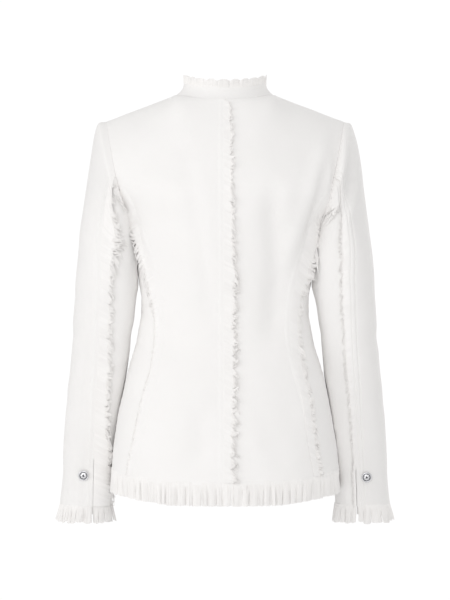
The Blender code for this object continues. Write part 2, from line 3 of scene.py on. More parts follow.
import bmesh
import bpy
import numpy as np
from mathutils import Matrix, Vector


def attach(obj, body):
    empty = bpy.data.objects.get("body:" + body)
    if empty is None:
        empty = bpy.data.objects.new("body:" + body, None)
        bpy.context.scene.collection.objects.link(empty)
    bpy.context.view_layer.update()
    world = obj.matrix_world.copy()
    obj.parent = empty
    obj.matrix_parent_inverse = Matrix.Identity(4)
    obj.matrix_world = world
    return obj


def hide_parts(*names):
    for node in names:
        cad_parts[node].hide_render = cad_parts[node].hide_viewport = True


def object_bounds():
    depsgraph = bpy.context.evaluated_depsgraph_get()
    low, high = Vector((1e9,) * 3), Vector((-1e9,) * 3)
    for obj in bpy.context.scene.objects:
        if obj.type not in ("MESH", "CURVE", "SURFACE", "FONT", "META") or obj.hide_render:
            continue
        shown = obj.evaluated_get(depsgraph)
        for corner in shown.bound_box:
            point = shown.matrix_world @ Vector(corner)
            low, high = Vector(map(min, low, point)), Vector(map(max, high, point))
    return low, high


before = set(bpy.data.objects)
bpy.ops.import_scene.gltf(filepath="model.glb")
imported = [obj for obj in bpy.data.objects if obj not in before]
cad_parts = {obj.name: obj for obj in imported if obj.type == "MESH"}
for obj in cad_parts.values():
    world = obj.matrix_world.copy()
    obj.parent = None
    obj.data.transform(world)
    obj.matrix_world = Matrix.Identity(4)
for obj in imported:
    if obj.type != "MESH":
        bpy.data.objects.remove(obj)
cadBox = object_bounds()
print("frame loaded:", len(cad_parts), "solids")

# All forms are worked out in millimetres; +X is the wearer's left, -Y the front, +Z up, and the origin is the
# middle of the neck at shoulder height, as in the frame.
mm = 0.001


# small helpers

def mix(a, b, share):
    return a + (b - a) * share


def ease(low, high, value):
    share = np.clip((value - low) / (high - low), 0, 1)
    return share * share * (3 - 2 * share)


def hump(rise, full, fall, gone, value):
    # 0 up to rise, 1 from full to fall, 0 again from gone on
    return ease(rise, full, value) * (1 - ease(fall, gone, value))


def xyz(x, y, z):
    return np.stack(np.broadcast_arrays(x, y, z), axis=-1).astype(float)


def unit(vectors):
    return vectors / np.maximum(np.linalg.norm(vectors, axis=-1, keepdims=True), 1e-9)


def hermite(start, leave, end, arrive, t):
    return (start * (2 * t ** 3 - 3 * t ** 2 + 1) + leave * (t ** 3 - 2 * t ** 2 + t)
            + end * (3 * t ** 2 - 2 * t ** 3) + arrive * (t ** 3 - t ** 2))


def readTable(table, column, z):
    # a column at height z on a smooth curve through the rows, straight on past its ends
    rows = np.array(sorted(table["rows"]), float)
    heights = rows[:, 0]
    values = rows[:, table["columns"].index(column)]
    slopes = np.empty_like(values)
    slopes[1:-1] = (values[2:] - values[:-2]) / (heights[2:] - heights[:-2])
    slopes[0] = (values[1] - values[0]) / (heights[1] - heights[0])
    slopes[-1] = (values[-1] - values[-2]) / (heights[-1] - heights[-2])
    z = np.asarray(z, float)
    i = np.clip(np.searchsorted(heights, z, side="right") - 1, 0, len(heights) - 2)
    span = heights[i + 1] - heights[i]
    share = np.clip((z - heights[i]) / span, 0, 1)
    inside = hermite(values[i], slopes[i] * span, values[i + 1], slopes[i + 1] * span, share)
    below = np.minimum(z - heights[0], 0) * slopes[0]
    return inside + below + np.maximum(z - heights[-1], 0) * slopes[-1]


# body form

body = {
    "columns": ("z", "halfWidth", "back", "front", "princessBack", "princessFront"),
    "rows": (
        (-583, 176.5, 128, 142, 143.0, 108),  # hem
        (-534, 170.0, 124, 138, 133.0, 101),
        (-478, 161.0, 113, 131, 123.0, 92),
        (-440, 154.0, 102, 127, 113.5, 85),  # hip
        (-409, 146.0, 92, 122, 106.0, 80),
        (-377, 136.5, 84, 118, 101.0, 77),
        (-330, 130.5, 79, 116, 101.0, 75),  # waist
        (-281, 134.0, 88, 124, 108.0, 80),
        (-235, 141.0, 99, 131, 120.0, 89),
        (-205, 146.0, 105, 133, 129.0, 97),  # underarm
    ),
    "hemZ": -583, "hemRise": 8, "underarmZ": -205, "chestZ": -130, "chestHalfWidth": 186,
    "squareness": 2.4, "armholeInwards": 85, "armholeAlong": 8,
    # how much cloth runs from the hem to the underarm, on to the chest and on to the top, to space the rows
    "runs": (378, 85, 140),
}
backHalf = {"sign": 1, "depth": "back", "princess": "princessBack", "chestDepth": 110, "armholeX": 164,
            "neckDepth": 58, "neckZ": -11, "neckCurve": 2.0, "seamTop": 0.85}
frontHalf = {"sign": -1, "depth": "front", "princess": "princessFront", "chestDepth": 122, "armholeX": 160,
             "neckDepth": 88, "neckZ": -75, "neckCurve": 1.6, "seamTop": 0.80}
shoulder = {
    "neckPoint": (76, 0, 2), "tip": (184, -8, -37.5), "reach": 140, "neckShare": 0.58,
    "spread": 0.26, "spreadColumns": 5,
    # how strongly a column arrives on top: inwards, over the shoulder and up
    "neckMiddle": (30, 0, 60), "neckSide": (45, 125, 17), "inner": (0, 140, 0), "outer": (0, 95, 0),
}


def ovalPoint(halfWidth, depth, turn):
    across = np.sin(turn * math.pi / 2)
    along = np.cos(turn * math.pi / 2)
    power = body["squareness"]
    reach = ((np.abs(across) / halfWidth) ** power + (np.abs(along) / depth) ** power) ** (-1 / power)
    return reach * across, reach * along


def turnAt(halfWidth, depth, x):
    power = body["squareness"]
    y = depth * (1 - (x / halfWidth) ** power) ** (1 / power)
    return np.arctan2(x, y) * 2 / math.pi


def sectionPoint(half, turn, z):
    x, y = ovalPoint(readTable(body, "halfWidth", z), readTable(body, half["depth"], z), turn)
    return xyz(x, half["sign"] * y, z)


def neckPoint(half, angle):
    across = np.sin(np.radians(angle))
    along = np.cos(np.radians(angle))
    x, _, z = shoulder["neckPoint"]
    return xyz(x * across, half["sign"] * half["neckDepth"] * along,
               mix(z, half["neckZ"], np.maximum(along, 0) ** half["neckCurve"]))


def topEdge(half, turn):
    angle = np.minimum(turn / shoulder["neckShare"], 1) * 90
    out = xyz(np.sin(np.radians(angle)), half["sign"] * np.cos(np.radians(angle)), 0)

    def tangent(first, last, share):
        inwards, over, up = (mix(a, b, share)[..., None] for a, b in zip(first, last))
        return np.array((0, -half["sign"], 0)) * over + np.array((0, 0, 1)) * up - out * inwards
    atNeck = tangent(shoulder["neckMiddle"], shoulder["neckSide"], ease(0, 90, np.abs(angle)))
    share = np.clip((turn - shoulder["neckShare"]) / (1 - shoulder["neckShare"]), 0, 1)
    overShoulder = tangent(shoulder["inner"], shoulder["outer"], share)
    onSeam = mix(np.array(shoulder["neckPoint"]), np.array(shoulder["tip"]), share[..., None])
    point = np.where((turn <= shoulder["neckShare"])[..., None], neckPoint(half, angle), onSeam)
    return point, mix(atNeck, overShoulder, ease(0, 0.4, share)[..., None])


def columnPoint(half, turn, level):
    hem = body["hemZ"] + body["hemRise"] * ease(0.3, 0.8, turn)
    underarm = body["underarmZ"]
    low = sectionPoint(half, turn, underarm + np.minimum(level, 0) * (underarm - hem))
    if np.max(level) <= 0:
        return low
    start = sectionPoint(half, turn, underarm)
    slope = start - sectionPoint(half, turn, underarm - 1)
    inwards = unit(sectionPoint(half, turn - 0.01, underarm) - start)
    rise = body["chestZ"] - underarm
    leave = mix(slope * rise, inwards * body["armholeInwards"] + slope * body["armholeAlong"],
                ease(0.7, 1.0, turn)[..., None])
    chestTurn = turnAt(body["chestHalfWidth"], half["chestDepth"], half["armholeX"])
    x, y = ovalPoint(body["chestHalfWidth"], half["chestDepth"], turn * chestTurn)
    chest = xyz(x, half["sign"] * y, body["chestZ"])
    end, arrive = topEdge(half, turn)
    through = (end - start) * 0.5
    reach = np.linalg.norm(end - chest, axis=-1, keepdims=True)
    up = level[..., None]
    middle = hermite(start, leave, chest, through, np.clip(up, 0, 1))
    high = hermite(chest, unit(through) * reach, end, arrive * reach / shoulder["reach"],
                   np.clip(up - 1, 0, 1))
    return np.where(up <= 0, low, np.where(up <= 1, middle, high))


def bodyPoint(half, turn, level):
    # turn 0 is the centre line and 1 the side; level -1 the hem, 0 the underarm, 1 the chest, 2 the top
    turn, level = (np.array(v, float) for v in np.broadcast_arrays(turn, level))
    spread = shoulder["spread"] * ease(1.0, 1.3, level) * ease(0.0, 0.5, 2 - level)
    spread = np.clip(spread, 0, np.maximum(0.8 * (1 - turn), 0))
    if np.max(spread) <= 0:
        return columnPoint(half, turn, level)
    columns = shoulder["spreadColumns"]
    total = 0
    weights = 0
    for k in range(-columns, columns + 1):
        weight = 1 + math.cos(math.pi * k / (columns + 1))
        total = total + columnPoint(half, turn + spread * k / columns, level) * weight
        weights += weight
    return total / weights


def princessTurn(half, level):
    underarm = body["underarmZ"]
    z = underarm + np.minimum(level, 0) * (underarm - body["hemZ"])
    turn = turnAt(*(readTable(body, column, z) for column in ("halfWidth", half["depth"], half["princess"])))
    above = mix(turn, 1.0, np.clip(np.maximum(level, 1e-9) / half["seamTop"], 0, 1) ** 0.9)
    return np.where(level <= 0, turn, above)


def turnStep(half, turn, level):
    # how much of a turn one millimetre sideways is
    small = 0.005
    middle = np.minimum(turn, 1 - small)
    apart = bodyPoint(half, middle + small, level) - bodyPoint(half, middle - small, level)
    return 2 * small / np.linalg.norm(apart, axis=-1)


# sleeve form

sleeve = {
    "columns": ("z", "x", "y", "halfWidth", "halfDepth", "backSeam"),
    "rows": (
        (-245, 184.8, -6, 43.4, 60.0, 87),  # upper arm
        (-281, 184.8, -8, 47.4, 58.0, 88),
        (-311, 186.8, -10, 47.2, 56.0, 88),
        (-386, 193.8, -16, 44.6, 51.0, 93),  # elbow
        (-460, 203.2, -26, 43.2, 47.0, 98),
        (-540, 213.2, -38, 40.7, 43.5, 106),
        (-593, 219.0, -47, 38.0, 42.0, 111),  # button
        (-636, 220.8, -54, 40.4, 44.0, 110),  # cuff
    ),
    "frontSeam": -128, "ventZ": -555, "ventOpening": 2.5,
    "headReach": 12, "headReachLow": 2, "headBack": 3, "headDrop": 3, "headDropLow": 9, "headSpeed": 1.2,
    "leaveOut": 30, "leaveIn": 2, "leaveDown": 31, "leaveDownBehind": 61,
}
cuffFlare = (-668, 222.5, -59, 46.0, 49.5, 110)
sleeveTop = sleeve["rows"][0][0]
lastRow = 1 + len(sleeve["rows"])


def sleeveOval(z, angle):
    x, y, halfWidth, halfDepth = (readTable(sleeve, column, z) for column in sleeve["columns"][1:5])
    turn = np.radians(angle)
    return xyz(x + halfWidth * np.cos(turn), y + halfDepth * np.sin(turn), z)


def armholePoint(angle):
    level = 2 - np.abs(angle) / 90
    ones = np.ones_like(level)
    behind, before = (bodyPoint(half, ones, level) for half in (backHalf, frontHalf))
    return np.where((angle >= 0)[..., None], behind, before)


def sleevePoint(angle, row):
    # angle 0 is the outer side, 90 behind, 180 under the arm; row 0 is the armhole, 2 the upper arm, and from
    # there each row is one oval
    angle, row = (np.array(v, float) for v in np.broadcast_arrays(angle, row))
    angle = np.where(angle > 180, angle - 360, angle)
    heights = [rowOf[0] for rowOf in sleeve["rows"]]
    z = np.interp(row, range(2, lastRow + 1), heights)
    low = sleeveOval(z, angle)
    if np.min(row) >= 2:
        return low
    top = (1 + np.cos(np.radians(angle))) / 2
    behind = np.sin(np.radians(angle))
    start = armholePoint(angle)
    head = start + xyz(mix(sleeve["headReachLow"], sleeve["headReach"], top ** 0.6),
                       sleeve["headBack"] * behind, -mix(sleeve["headDropLow"], sleeve["headDrop"], top))
    leave = xyz(mix(-sleeve["leaveIn"], sleeve["leaveOut"], top ** 1.5), -sleeve["leaveIn"],
                -mix(sleeve["leaveDown"], sleeve["leaveDownBehind"], behind ** 2))
    reach = np.linalg.norm(head - start, axis=-1, keepdims=True)
    end = sleeveOval(np.full_like(angle, sleeveTop), angle)
    arrive = (end - sleeveOval(np.full_like(angle, sleeveTop + 10), angle)) / 10
    arrive = arrive * np.linalg.norm(end - head, axis=-1, keepdims=True)
    down = row[..., None]
    first = hermite(start, (head - start) * sleeve["headSpeed"], head, unit(leave) * reach,
                    np.clip(down, 0, 1))
    second = hermite(head, leave, end, arrive, np.clip(down - 1, 0, 1))
    return np.where(down <= 1, first, np.where(down <= 2, second, low))


def sleeveRow(z):
    heights = [rowOf[0] for rowOf in sleeve["rows"]]
    return np.interp(-z, [-height for height in heights], range(2, lastRow + 1))


def backSeam(row):
    seams = [90] + [rowOf[5] for rowOf in sleeve["rows"]]
    return np.interp(row, [0] + list(range(2, lastRow + 1)), seams)


def angleStep(angle, row):
    apart = sleevePoint(angle + 0.5, row) - sleevePoint(angle - 0.5, row)
    return 1 / np.linalg.norm(apart, axis=-1)


# soft folds and unevenness of the worn cloth

# each fold runs from (across, z) to (acrossLow, zLow) as seen from its side: across is x from the back or the
# front, and y from the wearer's left or right; positive depth stands proud
folds = {
    "columns": ("across", "z", "acrossLow", "zLow", "width", "depth"),
    "back": (
        (-72, -150, -80, -290, 17, -7.0),
        (-74, -280, -74, -372, 20, -7.2),
        (-150, -78, -98, -250, 12, 5.4),
        (-159, -100, -152, -186, 8, 3.2),
        (-182, -42, -176, -148, 8, 4.4),
        (-153, -106, -117, -238, 6, -3.6),
        (151, -150, 139, -168, 2.8, -1.2),
        (140, -167, 129, -205, 2.8, -1.5),
        (129, -204, 116, -270, 2.8, -1.4),
        (56, -100, 20, -350, 13, -2.2),
        (30, -480, 44, -560, 18, -2.6),
        (96, -300, 70, -352, 13, -1.2),
        (-98, -318, -72, -342, 9, -1.1),
        (-40, -505, -66, -570, 16, 1.4),
        (-105, -400, -128, -520, 17, 2.0),
    ),
    "front": (
        (120, -120, 84, -250, 17, -2.6),
        (-124, -110, -80, -262, 18, -2.8),
        (44, -290, 62, -372, 15, -2.0),
        (-50, -300, -58, -360, 13, -1.7),
        (-40, -470, -58, -560, 20, 2.2),
        (60, -455, 38, -540, 17, -2.0),
    ),
    "side": (
        (20, -300, -36, -345, 11, -1.8),
        (-14, -352, 40, -322, 12, -1.5),
        (10, -470, 2, -560, 16, 1.8),
    ),
}
sleeveFolds = {
    "columns": folds["columns"],
    "back": (
        (-182, -42, -176, -148, 8, 4.4),
        (-204, -52, -189, -166, 14, -6.2),
        (-210, -130, -187, -190, 7, 3.4),
        (-168, -130, -184, -184, 5, -2.4),
        (-214, -150, -205, -215, 10, -1.6),
        (176, -214, 206, -170, 11, -1.6),
        (170, -330, 214, -352, 12, -1.3),
        (-172, -352, -218, -322, 12, -1.4),
        (196, -560, 238, -600, 13, -1.0),
    ),
    "front": (
        (182, -330, 224, -360, 12, -2.4),
        (-178, -352, -226, -330, 12, -2.2),
        (190, -380, 226, -392, 9, 1.4),
        (-184, -388, -224, -402, 10, 1.6),
        (170, -214, 204, -160, 13, -2.2),
        (-172, -208, -208, -170, 12, -2.0),
    ),
    "side": (
        (-30, -118, -34, -240, 16, -1.6),
        (18, -360, -44, -388, 13, -1.6),
        (30, -430, -30, -460, 14, 1.2),
    ),
}
# slow waves that keep the cloth from looking moulded: wave length, height, and the direction they run in
unevenness = ((92, 0.30, (0.8, 0.1, 0.6)), (61, 0.22, (-0.5, 0.4, 0.8)), (43, 0.14, (0.9, -0.2, -0.4)),
              (27, 0.08, (0.3, 0.7, 0.6)), (140, 0.45, (0.2, 0.3, 0.9)))


def foldHeight(table, across, z):
    lift = 0
    for startAcross, zHigh, endAcross, zLow, width, depth in table:
        run = np.array((endAcross - startAcross, zLow - zHigh), float)
        length = np.linalg.norm(run)
        run /= length
        along = ((across - startAcross) * run[0] + (z - zHigh) * run[1]) / length
        off = (across - startAcross) * run[1] - (z - zHigh) * run[0]
        bow = 0.12 * width * np.sin(along * 3.1 + startAcross)
        fade = ease(-0.25, 0.3, along) * (1 - ease(0.7, 1.25, along))
        lift = lift + depth * np.exp(-((off - bow) / width) ** 2) * fade
    return lift


def clothLift(points, normals, table):
    # how far the worn cloth stands off its even form; the folds of a side fade where the cloth turns away
    x, y, z = points[..., 0], points[..., 1], points[..., 2]
    behind = ease(0.15, 0.6, normals[..., 1])
    before = ease(0.15, 0.6, -normals[..., 1])
    beside = ease(0.5, 0.85, np.abs(normals[..., 0]))
    lift = foldHeight(table["back"], x, z) * behind + foldHeight(table["front"], x, z) * before
    lift = lift + foldHeight(table["side"], y, z) * beside
    for length, height, direction in unevenness:
        lift = lift + height * np.sin((points @ unit(np.array(direction))) * 2 * math.pi / length + length)
    return lift


def gridNormals(points, middle=(0, 0)):
    # normals of a grid, facing away from an upright line through the middle
    normals = unit(np.cross(np.gradient(points, axis=1), np.gradient(points, axis=0)))
    outside = points - np.array((*middle, 0.0))
    outside[..., 2] = 0
    return -normals if np.sum(normals * outside) < 0 else normals


# cloth sheets: a grid laid on the form, then given its thickness

cloth = {
    "thickness": 1.8, "seamGap": 0.05, "rowStep": 4.0,
    # how deep the cloth is pressed in: along stitches, along the hem's stitches, and at seams of each kind
    "stitchGroove": 0.36, "hemGroove": 0.12, "seamDip": 0.6, "armholeDip": 0.15, "sleeveDip": 0.3,
    "grooveWidth": 1.0, "hemGrooveWidth": 1.2, "seamDipWidth": 1.0,
    # how far a lap raises the cloth, and over what width
    "lapRise": 1.2, "lapFlat": 3, "lapWidth": 15.0,
    # small puckers beside a seam: height, spacing, distance from the seam, and how slowly they wander
    "pucker": 0.25, "puckerLength": 13.0, "puckerPlace": 6, "puckerWander": 31,
}


def layGrid(name, points, across, along):
    # a plane of the right number of faces, each corner moved to its place on the form
    rows, columns = points.shape[0] - 1, points.shape[1] - 1
    bpy.ops.object.select_all(action="DESELECT")
    bpy.ops.mesh.primitive_grid_add(x_subdivisions=columns, y_subdivisions=rows, size=2)
    piece = bpy.context.object
    piece.name = piece.data.name = name
    places = np.empty(len(piece.data.vertices) * 3)
    piece.data.vertices.foreach_get("co", places)
    places = places.reshape(-1, 3)
    j = np.rint((places[:, 0] + 1) / 2 * columns).astype(int)
    i = np.rint((places[:, 1] + 1) / 2 * rows).astype(int)
    piece.data.vertices.foreach_set("co", (points[i, j] * mm).ravel())
    corners = np.empty(len(piece.data.loops), int)
    piece.data.loops.foreach_get("vertex_index", corners)
    weave = np.stack((across[i, j], along[i, j]), axis=-1) * mm
    piece.data.uv_layers.active.name = "weave"
    piece.data.uv_layers.active.data.foreach_set("uv", weave[corners].ravel())
    piece.data.update()
    return piece


def arcLengths(points, axis):
    steps = np.linalg.norm(np.diff(points, axis=axis), axis=-1)
    zero = np.zeros_like(np.take(steps, [0], axis=axis))
    return np.concatenate((zero, np.cumsum(steps, axis=axis)), axis=axis)


def thicken(piece, thickness):
    solid = piece.modifiers.new("thickness", "SOLIDIFY")
    solid.thickness = thickness * mm
    solid.offset = -1
    solid.use_even_offset = False
    bpy.context.view_layer.objects.active = piece
    bpy.ops.object.modifier_apply(modifier=solid.name)


def faceOutwards(piece):
    shape = bmesh.new()
    shape.from_mesh(piece.data)
    bmesh.ops.recalc_face_normals(shape, faces=shape.faces)
    shape.to_mesh(piece.data)
    shape.free()


def finishPiece(piece, material, nodes=()):
    faceOutwards(piece)
    piece.data.materials.clear()
    piece.data.materials.append(material)
    bpy.ops.object.select_all(action="DESELECT")
    piece.select_set(True)
    bpy.context.view_layer.objects.active = piece
    bpy.ops.object.shade_smooth_by_angle(angle=math.radians(40))
    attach(piece, "root")
    if nodes:
        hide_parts(*nodes)
    return piece


def facesOutwards(points, normals):
    # whether the grid's own faces look the way that its normals do
    across = points[:, 1:] - points[:, :-1]
    along = points[1:] - points[:-1]
    faces = np.cross(across[:-1], along[:, :-1])
    return np.sum(faces * normals[:-1, :-1]) > 0


def clothSheet(name, points, normals, relief, material, thickness, nodes):
    shown = points + normals * relief[..., None]
    across = arcLengths(points, 1)
    along = arcLengths(points, 0)
    if not facesOutwards(shown, normals):
        shown, across, along = shown[:, ::-1], across[:, ::-1], along[:, ::-1]
    piece = layGrid(name, shown, across, along)
    thicken(piece, thickness)
    return finishPiece(piece, material, nodes)


def ridge(distance, width):
    # 1 where distance is 0, fading to both sides
    return np.exp(-(distance / width) ** 2)


def seamRelief(distance, along, lines=(), lapped=0.0, seed=0.0, depth=cloth["seamDip"],
               groove=cloth["stitchGroove"]):
    # beside a seam the cloth dips or laps over the next panel, puckers, and is pressed down along its
    # stitches; lapped is how far each row laps
    dip = depth * ridge(distance, cloth["seamDipWidth"])
    raised = cloth["lapRise"] * (1 - ease(cloth["lapFlat"], cloth["lapWidth"], distance))
    relief = lapped * raised - (1 - lapped) * dip
    wander = 1.3 * np.sin(along / cloth["puckerWander"] + seed)
    wave = np.sin(along * 2 * math.pi / cloth["puckerLength"] + wander + seed)
    relief = relief + cloth["pucker"] * wave * ridge(distance - cloth["puckerPlace"], cloth["puckerPlace"])
    for line in lines:
        relief = relief - lapped * groove * ridge(distance - line, cloth["grooveWidth"])
    return relief


def edgeDistances(lines, reach):
    # columns close together beside a seam, closest around its stitch lines
    steps = [0.0, 1.2, 2.4]
    for line in lines:
        steps += [line - 1.2, line, line + 1.2]
    steps += [reach * 0.55, reach]
    kept = []
    for step in sorted(steps):
        if not kept or step - kept[-1] > 0.7:
            kept.append(step)
    return np.array(kept)


def columnsBetween(startValue, endValue, startStep, endStep, startDistances, endDistances, middleCount):
    # parameter values across a sheet: fixed distances near each edge and even shares between them
    near = startValue[:, None] + startStep[:, None] * startDistances
    far = endValue[:, None] - endStep[:, None] * endDistances[::-1]
    shares = np.linspace(0, 1, middleCount + 2)[1:-1]
    middle = mix(near[:, -1:], far[:, :1], shares)
    return np.concatenate((near, middle, far), axis=1)


def levelRows(top, bottom=-1.0):
    # the levels of a sheet's rows, about one row step apart
    below, chest, above = (int(run / cloth["rowStep"]) for run in body["runs"])
    rows = np.concatenate((np.linspace(bottom, 0, below), np.linspace(0, 1, chest)[1:],
                           np.linspace(1, 2, above)[1:]))
    return np.append(rows[rows < top - 0.01], top)


# stitches and loose threads

def modelThread():
    # one thread, 1 long and 1 in radius, cut across so that it can bend
    bpy.ops.object.select_all(action="DESELECT")
    bpy.ops.mesh.primitive_cylinder_add(vertices=3, radius=1, depth=1, location=(0, 0, 0.5))
    thread = bpy.context.object
    bpy.ops.object.transform_apply(location=True)
    shape = bmesh.new()
    shape.from_mesh(thread.data)
    upright = [edge for edge in shape.edges if abs(edge.verts[0].co.z - edge.verts[1].co.z) > 0.5]
    bmesh.ops.subdivide_edges(shape, edges=upright, cuts=threads["bends"] - 1, use_grid_fill=False)
    bmesh.ops.triangulate(shape, faces=[face for face in shape.faces if len(face.verts) > 4])
    corners = np.array([vertex.co for vertex in shape.verts])
    faces = [[vertex.index for vertex in face.verts] for face in shape.faces]
    shape.free()
    bpy.data.objects.remove(thread)
    return corners, faces


threads = {"radius": 0.24, "bends": 4, "tip": 0.5, "stitchLength": 2.7, "stitchPitch": 3.5,
           "stitchRadius": 0.2, "stitchDive": 0.55}
threadCorners, threadFaces = modelThread()


def joinPieces(first, *others):
    bpy.ops.object.select_all(action="DESELECT")
    for piece in (first, *others):
        piece.select_set(True)
    bpy.context.view_layer.objects.active = first
    bpy.ops.object.join()
    return first


def samplePatch(patch, along, out, lift):
    # a point on a strip of cloth from its distance along the seam and out from it, raised by lift; the strips
    # of the sleeves keep it clear of the body
    i = np.interp(along, patch["along"], range(len(patch["along"])))
    j = np.interp(out, patch["out"], range(len(patch["out"])))
    i0 = np.clip(i.astype(int), 0, len(patch["along"]) - 2)
    j0 = np.clip(j.astype(int), 0, len(patch["out"]) - 2)
    a, b = (i - i0)[..., None], (j - j0)[..., None]

    def blend(values):
        near = mix(values[i0, j0], values[i0 + 1, j0], a)
        return mix(near, mix(values[i0, j0 + 1], values[i0 + 1, j0 + 1], a), b)
    normals = unit(blend(patch["normals"]))
    points = blend(patch["points"]) + normals * np.asarray(lift)[..., None]
    if "side" in patch:
        points = clearOfBody(patch["side"], points, normals, np.zeros(points.shape[:-1]))
    return points, normals


def makePatch(points, normals, out):
    middle = points[:, np.argmin(np.abs(np.asarray(out)))]
    along = arcLengths(middle[:, None], 0)[:, 0]
    return {"points": points, "normals": normals, "along": along, "out": np.asarray(out, float)}


tufts = {"columns": 10, "rows": 7, "thickness": 0.8, "ridge": 0.07,
         # the threads over the ribbons: spacing, share of the reach, how far they stand off
         "layers": ((1.0, 0.98, -0.05), (1.3, 1.04, 0.05))}


def modelTuft():
    # a slab with rounded corners left to its place in the fringe: x runs across, y out, z through it
    bpy.ops.object.select_all(action="DESELECT")
    bpy.ops.mesh.primitive_grid_add(x_subdivisions=tufts["columns"], y_subdivisions=tufts["rows"], size=2)
    slab = bpy.context.object
    solid = slab.modifiers.new("thickness", "SOLIDIFY")
    solid.thickness = 1
    solid.offset = -1
    bpy.ops.object.modifier_apply(modifier=solid.name)
    corners = np.array([vertex.co for vertex in slab.data.vertices])
    faces = [list(face.vertices) for face in slab.data.polygons]
    bpy.data.objects.remove(slab)
    return corners, faces


tuftCorners, tuftFaces = modelTuft()


def joinedCopies(name, places, faces, seed):
    # one mesh out of many copies of a small shape, each with a tone of its own
    count, corners, _ = places.shape
    joined = [[vertex + corners * k for vertex in face] for k in range(count) for face in faces]
    mesh = bpy.data.meshes.new(name)
    mesh.from_pydata((places.reshape(-1, 3) * mm).tolist(), [], joined)
    piece = bpy.data.objects.new(name, mesh)
    bpy.context.scene.collection.objects.link(piece)
    shade = mesh.attributes.new("strand", "FLOAT", "POINT")
    tone = np.random.default_rng(seed).random(count)
    shade.data.foreach_set("value", np.repeat(tone, corners))
    return piece


def bendThreads(name, paths, ups, radius, tip):
    # copies of the one thread, each bent along its own path
    points = paths.shape[1]
    tangents = unit(np.gradient(paths, axis=1))
    sides = unit(np.cross(tangents, ups))
    overs = np.cross(sides, tangents)
    station = np.rint(threadCorners[:, 2] * (points - 1)).astype(int)
    taper = mix(1, tip, threadCorners[:, 2] ** 2)
    places = (paths[:, station] + sides[:, station] * (threadCorners[:, 0] * taper)[None, :, None] * radius
              + overs[:, station] * (threadCorners[:, 1] * taper)[None, :, None] * radius)
    return joinedCopies(name, places, threadFaces, len(paths))


def makeTufts(length, look, rng):
    # where each tuft starts and ends along the seam, and how it lies
    widths = rng.normal(look["tuft"], look["tuft"] * look["tuftVary"], int(length / look["tuft"] * 2) + 4)
    widths = np.maximum(widths, look["tuft"] * 0.4)
    edges = np.concatenate(([0], np.cumsum(widths)))
    count = int(np.searchsorted(edges, length - look["tuft"] * 0.3)) + 1
    edges = edges[:count + 1] * (length / edges[count])
    slow = np.sin(edges[1:] / 17 + rng.random() * 6) + np.sin(edges[1:] / 29 + rng.random() * 6)
    return {"middle": (edges[1:] + edges[:-1]) / 2, "half": np.diff(edges) / 2, "edges": edges,
            "lean": np.radians(rng.normal(0, look["leanVary"], count)),
            "reach": look["reach"] * np.clip(rng.normal(1, look["reachVary"], count) + look["wander"] * slow,
                                             0.6, look["longest"]),
            "lift": np.clip(rng.normal(1, look["liftVary"], count), 0.1, 2.2),
            "bow": rng.normal(0, look["bow"], count), "twist": rng.normal(0, look["twist"], count),
            "gather": np.abs(rng.normal(0.8, 0.7, count)),
            "slit": np.interp(edges[1:], *zip(*look["slits"]))
            * rng.uniform(0.88, 1.06, count) + look["slitVary"] * rng.random(count)}


def layTuft(tuft, k, across, share, look):
    # along, out and lift of a spot in tuft k: across -1 to 1, share 0 at the seam and 1 at the tip; up to the
    # slit the tufts lie together as one flap
    middle = tuft["middle"][k]
    slit = tuft["slit"][k]
    apart = np.clip((share - slit) / (1 - slit), 0, None)
    length = tuft["reach"][k] * (1 - look["round"] * across ** 2)
    length = length * np.interp(middle, *zip(*look["profile"]))
    lean = math.radians(look["lean"])
    slide = length * (math.sin(lean) * share + np.sin(tuft["lean"][k]) * apart * 0.7) + tuft["bow"][k] * apart
    out = look["start"] + (length * math.cos(lean) - look["start"]) * share
    narrow = mix(1.05, look["fill"] - look["gather"] * tuft["gather"][k] * apart ** 1.2, ease(0, 0.25, apart))
    narrow = narrow + look["closing"] * ease(0.45, 1.0, share)
    along = middle + across * tuft["half"][k] * narrow + slide
    rise = look["lift"] * tuft["lift"][k] * apart ** look["curve"]
    rise = rise + np.interp(middle, *zip(*look["standOff"])) * share ** 1.6
    rise = rise + (tuft["twist"][k] * across - look["crown"] * across ** 4) * np.minimum(apart * 1.5, 1)
    sink = look["sink"] * (1 - ease(0, 0.16, share))
    return along, out, look["base"] + rise - sink


